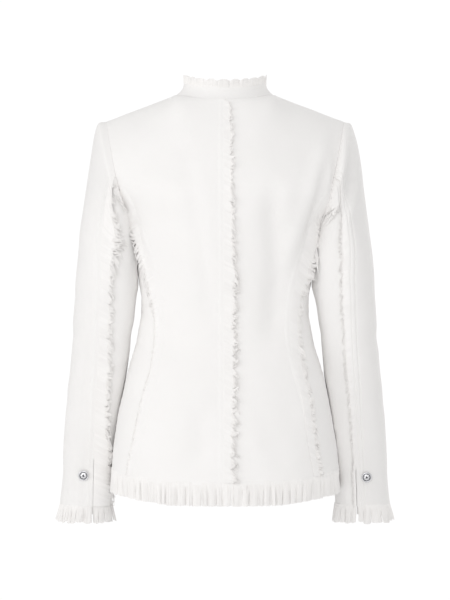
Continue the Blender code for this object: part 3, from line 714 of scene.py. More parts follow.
def frayEdge(name, patch, look, seed):
    rng = np.random.default_rng(seed)
    length = patch["along"][-1]
    tuft = makeTufts(length, look, rng)
    count = len(tuft["middle"])
    k = np.arange(count)[:, None]
    across = tuftCorners[None, :, 0] + np.zeros((count, 1))
    share = (tuftCorners[None, :, 1] + 1) / 2
    column = np.rint((tuftCorners[:, 0] + 1) / 2 * tufts["columns"]).astype(int)
    rag = rng.normal(0, look["rag"], (count, tufts["columns"] + 1))[:, column]
    ridge = rng.normal(0, tufts["ridge"], (count, tufts["columns"] + 1))[:, column]
    along, out, lift = layTuft(tuft, k, across, share * (1 + rag), look)
    under = np.where(tuftCorners[None, :, 2] < -0.5, tufts["thickness"], 0.0)
    lift = np.maximum(lift + ridge, look["floor"] + tufts["thickness"]) - under
    places, _ = samplePatch(patch, np.clip(along, -1, length + 1), out, lift)
    pieces = [joinedCopies(name, places, tuftFaces, seed)]
    t = np.linspace(0, 1, threads["bends"] + 1)[None, :]
    for spacing, longer, above in tufts["layers"]:
        start = np.arange(0, length, spacing * look["spacing"])
        start = np.clip(start + rng.normal(0, spacing * 0.35, len(start)), 0, length)
        k = np.clip(np.searchsorted(tuft["edges"], start, side="right") - 1, 0, count - 1)
        across = ((start - tuft["middle"][k]) / tuft["half"][k])[:, None]
        own = longer * (1 + rng.normal(0, look["threadRag"], len(start)))[:, None]
        first = np.maximum(tuft["slit"][k] - look["strandStart"], 0)[:, None]
        along, out, lift = layTuft(tuft, k[:, None], across, first + (own - first) * t, look)
        along = along + rng.normal(0, look["stray"], len(start))[:, None] * t
        along = along + rng.normal(0, look["curl"], len(start))[:, None] * np.sin(t * math.pi)
        lift = lift + above + np.abs(rng.normal(0, look["fluff"], len(start)))[:, None] * t ** 1.5
        lift = np.maximum(lift, look["floor"] + threads["radius"])
        points, normals = samplePatch(patch, np.clip(along, -1.5, length + 1.5), out, lift)
        pieces.append(bendThreads(name, points, normals, threads["radius"], threads["tip"]))
    return joinPieces(*pieces)


def stitchRun(name, patch, distance, lift=0.0):
    # a line of stitches along a patch, each a short thread that dives into the cloth at both ends
    length = patch["along"][-1]
    start = np.arange(2, length - 4, threads["stitchPitch"])
    t = np.linspace(0, 1, threads["bends"] + 1)[None, :]
    along = start[:, None] + threads["stitchLength"] * t
    rise = np.broadcast_to(lift - threads["stitchDive"] * (2 * t - 1) ** 4, along.shape)
    points, normals = samplePatch(patch, along, np.full_like(along, distance), rise)
    return bendThreads(name, points, normals, threads["stitchRadius"], 1.0)


# finishes

def newMaterial(name, colour, roughness, sheen):
    material = bpy.data.materials.new(name)
    material.use_nodes = True
    shader = material.node_tree.nodes["Principled BSDF"]
    shader.inputs["Base Color"].default_value = (*colour, 1)
    shader.inputs["Roughness"].default_value = roughness
    shader.inputs["Sheen Weight"].default_value = sheen
    shader.inputs["Sheen Roughness"].default_value = 0.6
    shader.inputs["Specular IOR Level"].default_value = 0.25
    return material, material.node_tree, shader


def addNode(tree, kind, **values):
    # another node's output is linked in and anything else is set; _ stands for a blank in an input's name
    node = tree.nodes.new(kind)
    for name, value in values.items():
        label = name.replace("_", " ")
        if label not in node.inputs:
            setattr(node, name, value)
        elif isinstance(value, bpy.types.NodeSocket):
            tree.links.new(value, node.inputs[label])
        else:
            node.inputs[label].default_value = value
    return node


def addNoise(tree, place, scale, detail=2.0):
    return addNode(tree, "ShaderNodeTexNoise", Vector=place, Scale=scale, Detail=detail).outputs["Fac"]


def addBump(tree, height, distance, strength, **under):
    bump = addNode(tree, "ShaderNodeBump", Height=height, Distance=distance, Strength=strength, **under)
    return bump.outputs["Normal"]


def addTone(tree, share, first, second):
    tone = addNode(tree, "ShaderNodeMixRGB", Fac=share, Color1=(*first, 1), Color2=(*second, 1))
    return tone.outputs["Color"]


def twillFinish():
    # twill ribs, finer picks across them and soft slubs, with faint clouds of a darker white
    look = {"colour": (0.93, 0.915, 0.902), "shade": (0.88, 0.866, 0.853), "roughness": 0.88, "sheen": 0.1,
            "ribsPerMetre": 1150.0, "angle": 63.0, "ribHeight": 0.00014, "slubHeight": 0.0005,
            "picks": 1500.0, "slubs": 160.0, "clouds": 14.0, "cloudShare": 0.45}
    material, tree, shader = newMaterial("whiteTwill", look["colour"], look["roughness"], look["sheen"])
    weave = addNode(tree, "ShaderNodeUVMap", uv_map="weave").outputs["UV"]
    turned = addNode(tree, "ShaderNodeMapping", Vector=weave, Rotation=(0, 0, math.radians(look["angle"])))
    ribs = addNode(tree, "ShaderNodeTexWave", wave_type="BANDS", bands_direction="X",
                   Vector=turned.outputs["Vector"], Scale=look["ribsPerMetre"] / (2 * math.pi),
                   Distortion=0.8, Detail=1.0, Detail_Scale=0.4).outputs["Fac"]
    picks = addNoise(tree, weave, look["picks"])
    slubs = addNoise(tree, weave, look["slubs"], 3.0)
    place = addNode(tree, "ShaderNodeTexCoord").outputs["Object"]
    clouds = addNoise(tree, place, look["clouds"], 3.0)
    amount = addNode(tree, "ShaderNodeMapRange", Value=clouds, From_Min=0.35, From_Max=0.85,
                     To_Max=look["cloudShare"]).outputs["Result"]
    tree.links.new(addTone(tree, amount, look["colour"], look["shade"]), shader.inputs["Base Color"])
    raised = addBump(tree, ribs, look["ribHeight"], 0.8)
    raised = addBump(tree, picks, look["ribHeight"], 0.6, Normal=raised)
    raised = addBump(tree, slubs, look["slubHeight"], 0.35, Normal=raised)
    tree.links.new(raised, shader.inputs["Normal"])
    return material


def threadFinish():
    # each strand has a tone of its own
    look = {"colour": (0.938, 0.922, 0.909), "shade": (0.885, 0.869, 0.856), "roughness": 0.9, "sheen": 0.1,
            "shadeShare": 0.6, "twist": 1800.0, "twistHeight": 0.00008}
    material, tree, shader = newMaterial("whiteThreads", look["colour"], look["roughness"], look["sheen"])
    strand = addNode(tree, "ShaderNodeAttribute", attribute_name="strand").outputs["Fac"]
    amount = addNode(tree, "ShaderNodeMapRange", Value=strand, To_Max=look["shadeShare"]).outputs["Result"]
    tree.links.new(addTone(tree, amount, look["colour"], look["shade"]), shader.inputs["Base Color"])
    place = addNode(tree, "ShaderNodeTexCoord").outputs["Object"]
    twist = addNoise(tree, place, look["twist"])
    tree.links.new(addBump(tree, twist, look["twistHeight"], 0.3), shader.inputs["Normal"])
    return material


def silverFinish():
    # polished where it is raised, with painted shade and a painted dark reflection in its grooves
    look = {"bright": (0.80, 0.80, 0.82), "paintedDark": (0.10, 0.10, 0.11), "roughness": 0.16,
            "wear": 900.0, "wearHeight": 0.00006}
    material, tree, shader = newMaterial("silverMetal", look["bright"], look["roughness"], 0.0)
    shader.inputs["Metallic"].default_value = 1.0
    shader.inputs["Specular IOR Level"].default_value = 0.5
    shader.inputs["Sheen Roughness"].default_value = 0.5
    # the groove attribute mixes painted shade and a painted dark reflection into the base colour
    groove = addNode(tree, "ShaderNodeAttribute", attribute_name="groove").outputs["Fac"]
    tree.links.new(addTone(tree, groove, look["bright"], look["paintedDark"]), shader.inputs["Base Color"])
    place = addNode(tree, "ShaderNodeTexCoord").outputs["Object"]
    wear = addNoise(tree, place, look["wear"])
    tree.links.new(addBump(tree, wear, look["wearHeight"], 0.4), shader.inputs["Normal"])
    return material


whiteTwill = twillFinish()
whiteThreads = threadFinish()
silverMetal = silverFinish()
print("finishes made")


# body panels

lapLines = (3.5, 10.5)  # the two stitch lines beside a lapped seam
panels = {
    "frontLap": 14.0, "hemLine": 9.0, "frontLine": 8.0, "edgeReach": 16, "columns": 30, "sideColumns": 12,
    # the cut of each panel: width, length and area in metres
    "cut": {"back": (0.197, 0.62, 0.085), "sideBack": (0.11, 0.45, 0.0320), "sideFront": (0.15, 0.45, 0.0520),
            "front": (0.205, 0.62, 0.0700)},
}


def mirrored(points, normals, side):
    flip = np.array((side, 1, 1))
    return points * flip, normals * flip


def bodyGrid(half, side, turns, levels, foldTable=folds):
    # outer face and normals of a grid of turns, one row a level, with the worn cloth's folds
    level = np.broadcast_to(levels[:, None], turns.shape)
    points = bodyPoint(half, turns, level)
    normals = gridNormals(points)
    points, normals = mirrored(points, normals, side)
    atSeam = ease(0, 0.1, 2 - level) * mix(1, ease(0, 0.06, 1 - turns), ease(0.7, 1.0, level))
    return points, normals, clothLift(points, normals, foldTable) * atSeam


def bodyPatch(half, side, seamTurn, direction, levels, out):
    # a strip beside a seam, out in millimetres from it; direction 1 runs away from the centre line
    step = turnStep(half, seamTurn, levels)
    turns = seamTurn[:, None] + direction * step[:, None] * np.asarray(out, float)
    points, normals, lift = bodyGrid(half, side, turns, levels)
    return makePatch(points + normals * lift[..., None], normals, out)


def makeBodyPanel(name, node, half, side, levels, startTurn, endTurn, startLines, endLines, lapped, middle,
                  seed):
    # from startTurn to endTurn; lapped says how far the cloth laps at its start and at its end
    startStep = turnStep(half, startTurn, levels)
    endStep = turnStep(half, endTurn, levels)
    near = edgeDistances(startLines, panels["edgeReach"]) + cloth["seamGap"]
    far = edgeDistances(endLines, panels["edgeReach"]) + cloth["seamGap"]
    width = (endTurn - startTurn) / startStep
    fit = np.clip(width / (near[-1] + far[-1]) * 0.9, 0.05, 1)
    turns = columnsBetween(startTurn, endTurn, startStep * fit, endStep * fit, near, far, middle)
    points, normals, lift = bodyGrid(half, side, turns, levels)
    across = arcLengths(points, 1)
    along = arcLengths(points, 0)
    low = (1 - ease(half["seamTop"] - 0.12, half["seamTop"], levels))[:, None]
    relief = lift + seamRelief(across, along, startLines, lapped[0], seed)
    relief = relief + seamRelief(across[:, -1:] - across, along, endLines, lapped[1] * low, seed + 2,
                                 mix(cloth["armholeDip"], cloth["seamDip"], low))
    if levels[-1] >= 2:
        relief = relief - cloth["armholeDip"] * ridge(along[-1] - along, cloth["seamDipWidth"])
    relief = relief - cloth["hemGroove"] * ridge(along - panels["hemLine"], cloth["hemGrooveWidth"])
    piece = clothSheet(name, points, normals, relief, whiteTwill, cloth["thickness"], (node,))


def makeBodyPanels():
    for side, word in ((1, "Left"), (-1, "Right")):
        for half, place in ((backHalf, "back"), (frontHalf, "front")):
            levels = levelRows(2.0)
            princess = np.minimum(princessTurn(half, levels), 1.0)
            lap = 0.0
            if half is frontHalf:
                lap = panels["frontLap"] if side == 1 else -panels["frontLap"]
            start = turnStep(half, np.zeros(len(levels)), levels) * lap
            lines = lapLines if (half is backHalf and side == 1) else ()
            if half is frontHalf and side == -1:
                lines = (panels["frontLine"],)
            makeBodyPanel(place + word + "Panel", f"{place}_{word.lower()}", half, side, levels, start,
                          princess, lines, lapLines, (float(bool(lines)), 1.0), panels["columns"],
                          side + 2.0)
            levels = levelRows(half["seamTop"] - 0.005)
            princess = princessTurn(half, levels)
            makeBodyPanel(f"side{place.title()}{word}Panel", f"side_{place}_{word.lower()}", half, side,
                          levels, princess, np.ones(len(levels)), (), (), (0.0, 0.0), panels["sideColumns"],
                          side + 5.0)
    print("body panels made")


# sleeves

# where two values are given, 1 is the left sleeve's and -1 the right's
sleeves = {
    "cut": {"top": (0.24, 0.62, 0.105), "under": (0.13, 0.52, 0.0510)}, "cuffLine": 9.0, "edgeReach": 14,
    "groove": {1: 0.4, -1: 0.85},
    # how deep the under sleeve's edge lies at the vent, how far off the seam the lap starts there, and below
    # what height
    "ventStep": 2.0, "ventWidth": 5, "ventGap": {1: 1.5, -1: 2.0}, "ventTop": {1: -556, -1: -573},
    # how much fuller the under sleeve is behind, how much more of it low down, and at the armpit
    "fullness": {1: 8.5, -1: 8.5}, "fullLow": {1: -2.0, -1: 5.0}, "armpit": {1: 9.0, -1: 5.0},
    # how far its inner edge stands off under the arm and beside the waist
    "innerEdge": {1: 1.5, -1: 0.5}, "innerLow": {1: -1.5, -1: -5.5},
    # how clear of the body it stays, and how softly it is laid along it
    "clear": 1.0, "clearSoft": 1.0,
    # where each of these sets in, is full, begins to fade and is gone: angles round the sleeve, rows, heights
    "armpitTurns": (98, 118, 165, 200), "armpitRows": (0, 0.4, 1.8, 3.2), "fullTurns": (98, 146, 152, 184),
    "innerTurns": (130, 172, 188, 225), "innerEdgeZ": (-175, -230, -268, -310),
    "innerLowZ": (-285, -330, -440, -505), "clearZ": (-190, -208, -590, -610),
}


def sleeveGrid(side, angles, rows):
    row = np.broadcast_to(rows[:, None], angles.shape)
    points = sleevePoint(angles, row)
    normals = sleeveNormals(angles, row)
    points, normals = mirrored(points, normals, side)
    lift = clothLift(points, normals, sleeveFolds) * ease(0, 0.3, row)
    lift = lift + underLift(side, angles, points[..., 2])
    turn = np.where(angles < 0, angles + 360, angles)
    armpit = hump(*sleeves["armpitTurns"], turn) * hump(*sleeves["armpitRows"], row)
    lift = lift + sleeves["armpit"][side] * armpit
    return clearOfBody(side, points, normals, lift), normals, lift


def clearOfBody(side, points, normals, lift):
    # where the sleeve would touch the body below the underarm, its cloth lies flat along it and just clear
    x, y, z = np.moveaxis(points + normals * lift[..., None], -1, 0)
    power = body["squareness"]
    halfWidth = readTable(body, "halfWidth", z)
    depth = np.where(y > 0, readTable(body, "back", z), readTable(body, "front", z))
    edge = halfWidth * np.maximum(1 - (np.abs(y) / depth) ** power, 0) ** (1 / power)
    facing = unit(xyz(side * (edge / halfWidth) ** (power - 1) / halfWidth,
                      np.sign(y) * (np.abs(y) / depth) ** (power - 1) / depth, 0))
    proud = clothLift(xyz(side * edge, y, z), facing, folds) / np.maximum(np.abs(facing[..., 0]), 0.3)
    near = edge + proud + sleeves["clear"] - x * side
    soft = sleeves["clearSoft"]
    push = np.where(near > soft, near, np.maximum(near + soft, 0) ** 2 / (4 * soft))
    return points + xyz(side * push * hump(*sleeves["clearZ"], z), 0, 0)


def underLift(side, angles, z):
    # the under sleeve is fuller behind than its oval, and its inner edge nearer the body or away from it
    turn = np.where(angles < 0, angles + 360, angles)
    full = hump(*sleeves["fullTurns"], turn)
    inner = hump(*sleeves["innerTurns"], turn)
    height = sleeves["fullness"][side] * ease(-150, -240, z) + sleeves["fullLow"][side] * ease(-380, -520, z)
    edge = sleeves["innerEdge"][side] * hump(*sleeves["innerEdgeZ"], z)
    edge = edge + sleeves["innerLow"][side] * hump(*sleeves["innerLowZ"], z)
    return full * height + inner * edge


def sleeveNormals(angles, rows):
    # outward normals worked out point by point, so that they hold for any grid
    low = np.maximum(rows - 0.01, 0.0)
    high = np.minimum(rows + 0.01, lastRow)
    down = sleevePoint(angles, high) - sleevePoint(angles, low)
    around = sleevePoint(angles + 0.5, rows) - sleevePoint(angles - 0.5, rows)
    return unit(np.cross(down, around))


def sleeveRows():
    heights = [row[0] for row in sleeve["rows"]]
    rows = [*np.linspace(0.0, 0.22, 5), *np.linspace(0.3, 1, 6), *np.linspace(1, 2, 26)[1:]]
    for k in range(len(heights) - 1):
        count = int((heights[k] - heights[k + 1]) / cloth["rowStep"])
        rows += list(np.linspace(k + 2, k + 3, count + 1)[1:])
    return np.array(rows)


def sleevePatch(side, seam, direction, rows, out):
    angles = seam[:, None] + direction * angleStep(seam, rows)[:, None] * np.asarray(out, float)
    points, normals, lift = sleeveGrid(side, angles, rows)
    return dict(makePatch(points + normals * lift[..., None], normals, out), side=side)


def makeSleeves():
    rows = sleeveRows()
    seam = backSeam(rows)
    front = np.full_like(rows, sleeve["frontSeam"])
    for side, word in ((1, "Left"), (-1, "Right")):
        for place, start, end, lines, middle in (("Top", front, seam, lapLines, 34),
                                                 ("Under", seam, front + 360, (), 20)):
            near = edgeDistances((), sleeves["edgeReach"]) + cloth["seamGap"]
            far = edgeDistances(lines, sleeves["edgeReach"]) + cloth["seamGap"]
            angles = columnsBetween(start, end, angleStep(start, rows), angleStep(end, rows), near, far,
                                    middle)
            points, normals, lift = sleeveGrid(side, angles, rows)
            across = arcLengths(points, 1)
            along = arcLengths(points, 0)
            laps = ease(0.0, 0.4, rows)[:, None] * (place == "Top")
            relief = lift + seamRelief(across, along, (), 0.0, side + 1.0, cloth["sleeveDip"])
            relief = relief + seamRelief(across[:, -1:] - across, along, lines, laps, side + 1.0,
                                         cloth["sleeveDip"], sleeves["groove"][side])
            relief = relief - cloth["armholeDip"] * ridge(along, cloth["seamDipWidth"])
            if place == "Under":
                vent = sleeveRow(sleeve["ventZ"])
                opened = ease(vent, vent + 0.3, rows)[:, None]
                relief = relief - sleeves["ventStep"] * opened * ridge(across, sleeves["ventWidth"])
            fromLine = along[-1] - along - sleeves["cuffLine"]
            relief = relief - cloth["hemGroove"] * ridge(fromLine, cloth["hemGrooveWidth"])
            piece = clothSheet(f"sleeve{place}{word}", points, normals, relief, whiteTwill,
                               cloth["thickness"], (f"sleeve_{place.lower()}_{word.lower()}",))
    print("sleeves made")


# how each kind of raw edge lies

# reach is how long the threads are; profile, slits and standOff change along the edge, from its start
looseLook = {  # along a free edge
    "tuft": 12.0, "tuftVary": 0.34, "lean": 0, "leanVary": 0.8, "reach": 34.0, "reachVary": 0.01,
    "longest": 1.04,
    "wander": 0.0, "liftVary": 0.8, "lift": 1.2, "curve": 1.0, "bow": 0.3, "twist": 1.1, "round": 0.015,
    "start": -2.5, "gather": 0.0, "fill": 0.99, "closing": 0.04, "crown": 3.0, "base": 0.3, "sink": 0.4,
    "floor": -2.4, "rag": 0.008, "threadRag": 0.012, "spacing": 1.0, "stray": 0.4, "curl": 0.3, "fluff": 0.1,
    "strandStart": 0.1, "profile": ((0, 1.0), (1, 1.0)), "slits": ((0, 0.06), (1, 0.06)), "slitVary": 0.2,
    "standOff": ((0, 0.0), (1, 0.0)),
}
cuffLook = dict(looseLook, reach=26.5, tuft=9.5, leanVary=2, reachVary=0.04, round=0.05, gather=0.01,
                crown=2.2)
seamLook = {  # the raw edge of a lapped seam, lying over the next panel
    "tuft": 4.2, "tuftVary": 0.4, "lean": 30, "leanVary": 26, "reach": 17.0, "reachVary": 0.05,
    "longest": 1.14,
    "wander": 0.035, "liftVary": 0.5, "lift": 2.0, "curve": 0.9, "bow": 0.3, "twist": 0.3, "round": 0.06,
    "start": -1.0, "gather": 0.3, "fill": 0.99, "closing": 0.0, "crown": 0.1, "base": 1.35, "sink": 0.0,
    "floor": 0.35, "rag": 0.02, "threadRag": 0.04, "spacing": 0.8, "stray": 0.9, "curl": 0.4, "fluff": 0.5,
    "strandStart": 0.12, "profile": ((0, 1.0), (1, 1.0)), "slits": ((240, 0.78), (350, 0.66)),
    "slitVary": 0.0,
    "standOff": ((0, 0.0), (1, 0.0)),
}
# how the reach changes along each raw edge, from its top
centreLook = dict(seamLook, reach=21.5, lift=2.8, reachVary=0.09, longest=1.22, gather=0.4,
                  profile=((0, 0.5), (200, 0.85), (280, 1.0)), slits=((0, 0.78), (400, 0.78), (520, 0.64)))
princessLooks = {
    1: dict(seamLook, lean=26, reach=20.0, lift=0.5, base=1.0, fluff=0.25, gather=0.12, shift=0.0,
            profile=((0, 0.6), (20, 1.1), (60, 1.2), (110, 1.1), (165, 0.95), (205, 0.45), (300, 0.35),
                     (420, 0.5)),
            slits=((0, 0.8), (150, 0.82), (220, 0.7), (400, 0.66)),
            standOff=((0, 7.0), (30, 9.0), (95, 7.0), (150, 2.0), (200, 0.0))),
    -1: dict(seamLook, lean=34, reach=24.0, gather=0.16, tuft=6.5, leanVary=18, shift=12.0, sink=0.5,
             profile=((0, 0.6), (25, 1.1), (60, 1.5), (105, 1.7), (135, 1.55), (165, 1.0), (300, 1.0),
                      (420, 0.8)),
             slits=((0, 0.8), (240, 0.8), (350, 0.76)),
             standOff=((0, 2.0), (30, 5.0), (95, 7.5), (130, 6.0), (165, 0.0))),
}
sleeveLooks = {
    1: dict(seamLook, lean=30, reach=24.0, lift=1.4, gather=0.2,
            profile=((0, 0.75), (15, 1.15), (60, 1.3), (100, 1.0), (150, 0.9), (330, 0.9), (400, 1.1),
                     (450, 1.3)),
            slits=((0, 0.82), (240, 0.78), (330, 0.84), (450, 0.92)),
            standOff=((0, 1.5), (25, 3.0), (60, 6.5), (100, 4.5), (150, 0.0), (320, 0.5),
                      (430, 3.0))),
    -1: dict(seamLook, lean=24, reach=14.0, lift=1.0, gather=0.14, base=1.1,
             profile=((0, 0.2), (22, 0.4), (36, 1.0), (200, 1.0), (350, 0.72), (415, 0.4), (445, 0.25))),
}
armholeLooks = {
    1: dict(seamLook, lean=-5, reach=22.0, base=1.2, sink=0.4, lift=1.6,
            profile=((0, 0.4), (8, 0.9), (20, 1.0), (45, 0.8)), slits=((0, 0.82), (1, 0.82)),
            standOff=((0, 3.0), (12, 5.0), (25, 3.0), (45, 0.0))),
    -1: dict(seamLook, lean=4, reach=34.0, base=1.1, sink=0.6, lift=0.3, twist=0.05, gather=0.02,
             tuftVary=0.2, wander=0.01, profile=((0, 1.15), (10, 1.15), (26, 0.85), (45, 0.45)),
             slits=((0, 0.95), (1, 0.95))),
}


# collar

collar = {"band": 17.0, "fringe": 14.0, "leanSide": 12.0, "leanMiddle": 5.0, "centreY": -15.0,
          "cut": (0.44, 0.021, 0.009), "steps": 44, "line": 4}


def collarPoint(half, side, angle, height):
    base = neckPoint(half, angle)
    turn = np.radians(angle)
    lean = mix(collar["leanMiddle"], collar["leanSide"], np.abs(np.sin(turn)) ** 1.5)
    settled = 1 - (1 - np.minimum(height / collar["band"], 1)) ** 2
    out = xyz(np.sin(turn), half["sign"] * np.cos(turn), 0)
    point = base - out * (lean * settled)[..., None]
    point[..., 2] = point[..., 2] + height
    return point * np.array((side, 1, 1))


def collarGrid(heights, steps):
    # from the left front edge round the back to the right front edge, one row a height
    lapAngle = math.degrees(math.asin(panels["frontLap"] / shoulder["neckPoint"][0]))
    quarter = np.linspace(0, 90, steps)
    leftFront = np.linspace(lapAngle, 90, steps)
    grid = []
    for height in heights:
        runs = [(frontHalf, 1, leftFront[:-1]), (backHalf, 1, quarter[::-1][:-1]),
                (backHalf, -1, quarter[:-1]), (frontHalf, -1, np.append(quarter[::-1], -lapAngle))]
        grid.append(np.concatenate([collarPoint(half, side, angles, np.full_like(angles, height))
                                    for half, side, angles in runs]))
    points = np.array(grid)
    return points, gridNormals(points, (0, collar["centreY"]))


def collarPatch(first, last, count):
    # along runs round the neck and out runs up from the first height
    out = np.linspace(0, last - first, count)
    points, normals = collarGrid(first + out, collar["steps"])
    points = points.transpose(1, 0, 2)
    return makePatch(points, normals.transpose(1, 0, 2), out)


def makeCollar():
    heights = np.array([0.1, 1.2, 2.6, 5, 8, 10.5, 12.5, 14, 15, 16, collar["band"]])
    points, normals = collarGrid(heights, collar["steps"])
    across = arcLengths(points, 1)
    along = arcLengths(points, 0)
    relief = -0.08 * ridge(along, 1.8) + 0.16 * np.sin(across / 9.5)
    relief = relief - 0.3 * ridge(along - collar["band"] + collar["line"], 0.9)
    piece = clothSheet("collarBand", points, normals, relief, whiteTwill, cloth["thickness"],
                       ("collar_band",))
    look = dict(looseLook, tuft=17.0, tuftVary=0.22, reach=14.5, reachVary=0.05, leanVary=4, gather=0.0,
                fill=1.02, closing=0.0, crown=1.1, round=0.2, lift=0.5, base=-0.2, sink=0.1, threadRag=0.02,
                stray=0.3, slits=((0, 0.3), (1, 0.3)), slitVary=0.1)
    patch = collarPatch(collar["band"] - 0.6, collar["band"] + collar["fringe"] + 1, 8)
    print("collar made")
    return makeFringe("collarFringe", "collar_fringe", patch, look, 11)


# raw edges

def hemPatch(drop, out):
    # along runs from the left front edge round the back to the right front edge, out runs down from the hem
    count = 46
    lap = float(turnStep(frontHalf, np.zeros(1), -np.ones(1))[0]) * panels["frontLap"]
    leftFront = np.linspace(lap, 1, count)
    quarter = np.linspace(0, 1, count)
    runs = [(frontHalf, 1, leftFront[:-1]), (backHalf, 1, quarter[::-1][:-1]), (backHalf, -1, quarter[:-1]),
            (frontHalf, -1, np.append(quarter[::-1], -lap))]
    points = np.concatenate([bodyPoint(half, turns, -np.ones_like(turns)) * np.array((side, 1, 1))
                             for half, side, turns in runs])
    flat = points.copy()
    flat[:, 2] = 0
    tangent = np.gradient(flat, axis=0)
    normals = unit(np.cross(tangent, np.array((0, 0, 1.0))))
    if np.sum(normals * flat) < 0:
        normals = -normals
    points = points + normals * clothLift(points, normals, folds)[:, None]
    out = np.asarray(out, float)
    fall = out[None, :, None] * np.array((0, 0, -1.0))
    grid = points[:, None] + fall - normals[:, None] * (out / drop)[None, :, None]
    return makePatch(grid, np.repeat(normals[:, None], len(out), axis=1), out)


def cuffPatch(side, out):
    # along runs round the cuff from one side of the vent to the other, out runs down
    cuffZ, _, _, _, _, seam = sleeve["rows"][-1]
    step = float(angleStep(np.array([float(seam)]), np.array([float(lastRow)]))[0])
    opening = step * sleeve["ventOpening"] / 2
    angles = np.linspace(seam + opening, seam - opening + 360, 90)
    start = sleeveOval(np.full_like(angles, cuffZ), angles)
    flareZ, x, y, halfWidth, halfDepth, _ = cuffFlare
    turn = np.radians(angles)
    end = xyz(x + halfWidth * np.cos(turn), y + halfDepth * np.sin(turn), np.full_like(turn, flareZ))
    out = np.asarray(out, float)
    share = (out / (cuffZ - flareZ))[None, :, None]
    grid = mix(start[:, None], end[:, None], share)
    grid, normals = mirrored(grid, gridNormals(grid, (x, y)), side)
    lift = underLift(side, np.where(angles > 180, angles - 360, angles)[:, None], grid[..., 2])
    return makePatch(grid + normals * lift[..., None], normals, out)


def makeFringe(name, node, patch, look, seed):
    return finishPiece(frayEdge(name, patch, look, seed), whiteThreads, (node,))


def makeRawEdges():
    made = {}
    out = np.linspace(-3, 36, 14)
    made["hem"] = makeFringe("hemFringe", "hem_fringe", hemPatch(looseLook["reach"], out), looseLook, 21)
    for side, word in ((1, "Left"), (-1, "Right")):
        made["cuff" + word] = makeFringe("cuffFringe" + word, "cuff_fringe_" + word.lower(),
                                         cuffPatch(side, np.linspace(-3, 34, 13)), cuffLook, 30 + side)
    out = np.linspace(-2, 30, 17)
    levels = levelRows(1.97)[::-1]
    patch = bodyPatch(backHalf, -1, np.zeros(len(levels)), 1, levels, out)
    made["centre"] = makeFringe("centreBackFringe", "centre_back_fringe", patch, centreLook, 41)
    for side, word in ((1, "Left"), (-1, "Right")):
        levels = levelRows(backHalf["seamTop"] - 0.05)[::-1]
        seam = princessTurn(backHalf, levels)
        inward = turnStep(backHalf, seam, levels) * princessLooks[side]["shift"] * ease(-0.3, -1.0, levels)
        patch = bodyPatch(backHalf, side, seam - inward, 1, levels, out)
        made["princess" + word] = makeFringe("princessFringe" + word, "princess_fringe_" + word.lower(),
                                             patch, princessLooks[side], 50 + side)
        rows = sleeveRows()
        rows = rows[rows >= 0.2]
        seam = backSeam(rows)
        vent = sleeveRow(sleeves["ventTop"][side])
        past = angleStep(seam, rows) * sleeves["ventGap"][side] * ease(vent - 0.1, vent + 0.15, rows)
        patch = sleevePatch(side, seam + past, 1, rows, out)
        made["sleeve" + word] = makeFringe("sleeveFringe" + word, "sleeve_fringe_" + word.lower(),
                                           patch, sleeveLooks[side], 60 + side)
        made["armhole" + word] = makeArmholeFringe(side, word)
    print("raw edges made")
    return made


def makeArmholeFringe(side, word):
    angles = np.linspace(99, 142, 20)
    rows = np.linspace(0.0, 2.4, 26)
    points, normals, lift = sleeveGrid(side, np.repeat(angles[None], len(rows), axis=0), rows)
    points = (points + normals * lift[..., None]).transpose(1, 0, 2)
    patch = makePatch(points, normals.transpose(1, 0, 2), arcLengths(points, 1).mean(axis=0))
    return makeFringe("armholeFringe" + word, "armhole_fringe_" + word.lower(), patch, armholeLooks[side],
                      70 + side)


# stitch lines

def makeStitches():
    # lines are distances from the seam, run away from the frayed side
    def besideSeam(name, half, side, seam, direction, levels, lines):
        patch = bodyPatch(half, side, seam, direction, levels, np.linspace(0, 14, 8))
        return [stitchRun(name, patch, line) for line in lines]
    runs = []
    levels = levelRows(2.0)
    runs += besideSeam("centreBack", backHalf, 1, np.zeros(len(levels)), 1, levels, lapLines)
    for half in (backHalf, frontHalf):
        top = levelRows(half["seamTop"] - 0.03)
        for side in (1, -1):
            runs += besideSeam("princess", half, side, princessTurn(half, top), -1, top, lapLines)
    frontSeam = turnStep(frontHalf, np.zeros(len(levels)), levels) * -panels["frontLap"]
    runs += besideSeam("frontEdge", frontHalf, -1, frontSeam, 1, levels, (panels["frontLine"],))
    rows = sleeveRows()
    rows = rows[rows >= 0.15]
    for side in (1, -1):
        patch = sleevePatch(side, backSeam(rows), -1, rows, np.linspace(0, 14, 8))
        runs += [stitchRun("sleeveBack", patch, line) for line in lapLines]
        patch = hemLinePatch("cuff", side)
        runs.append(stitchRun("cuffLine", patch, 0.0))
    runs.append(stitchRun("hemLine", hemLinePatch("hem", 1), 0.0))
    patch = collarPatch(collar["band"] - collar["line"], collar["band"], 3)
    runs.append(stitchRun("collarLine", patch, 0.0, 0.1))
    piece = joinPieces(*runs)
    piece.name = piece.data.name = "topstitching"
    finishPiece(piece, whiteThreads)
    print("stitches made")
    return piece


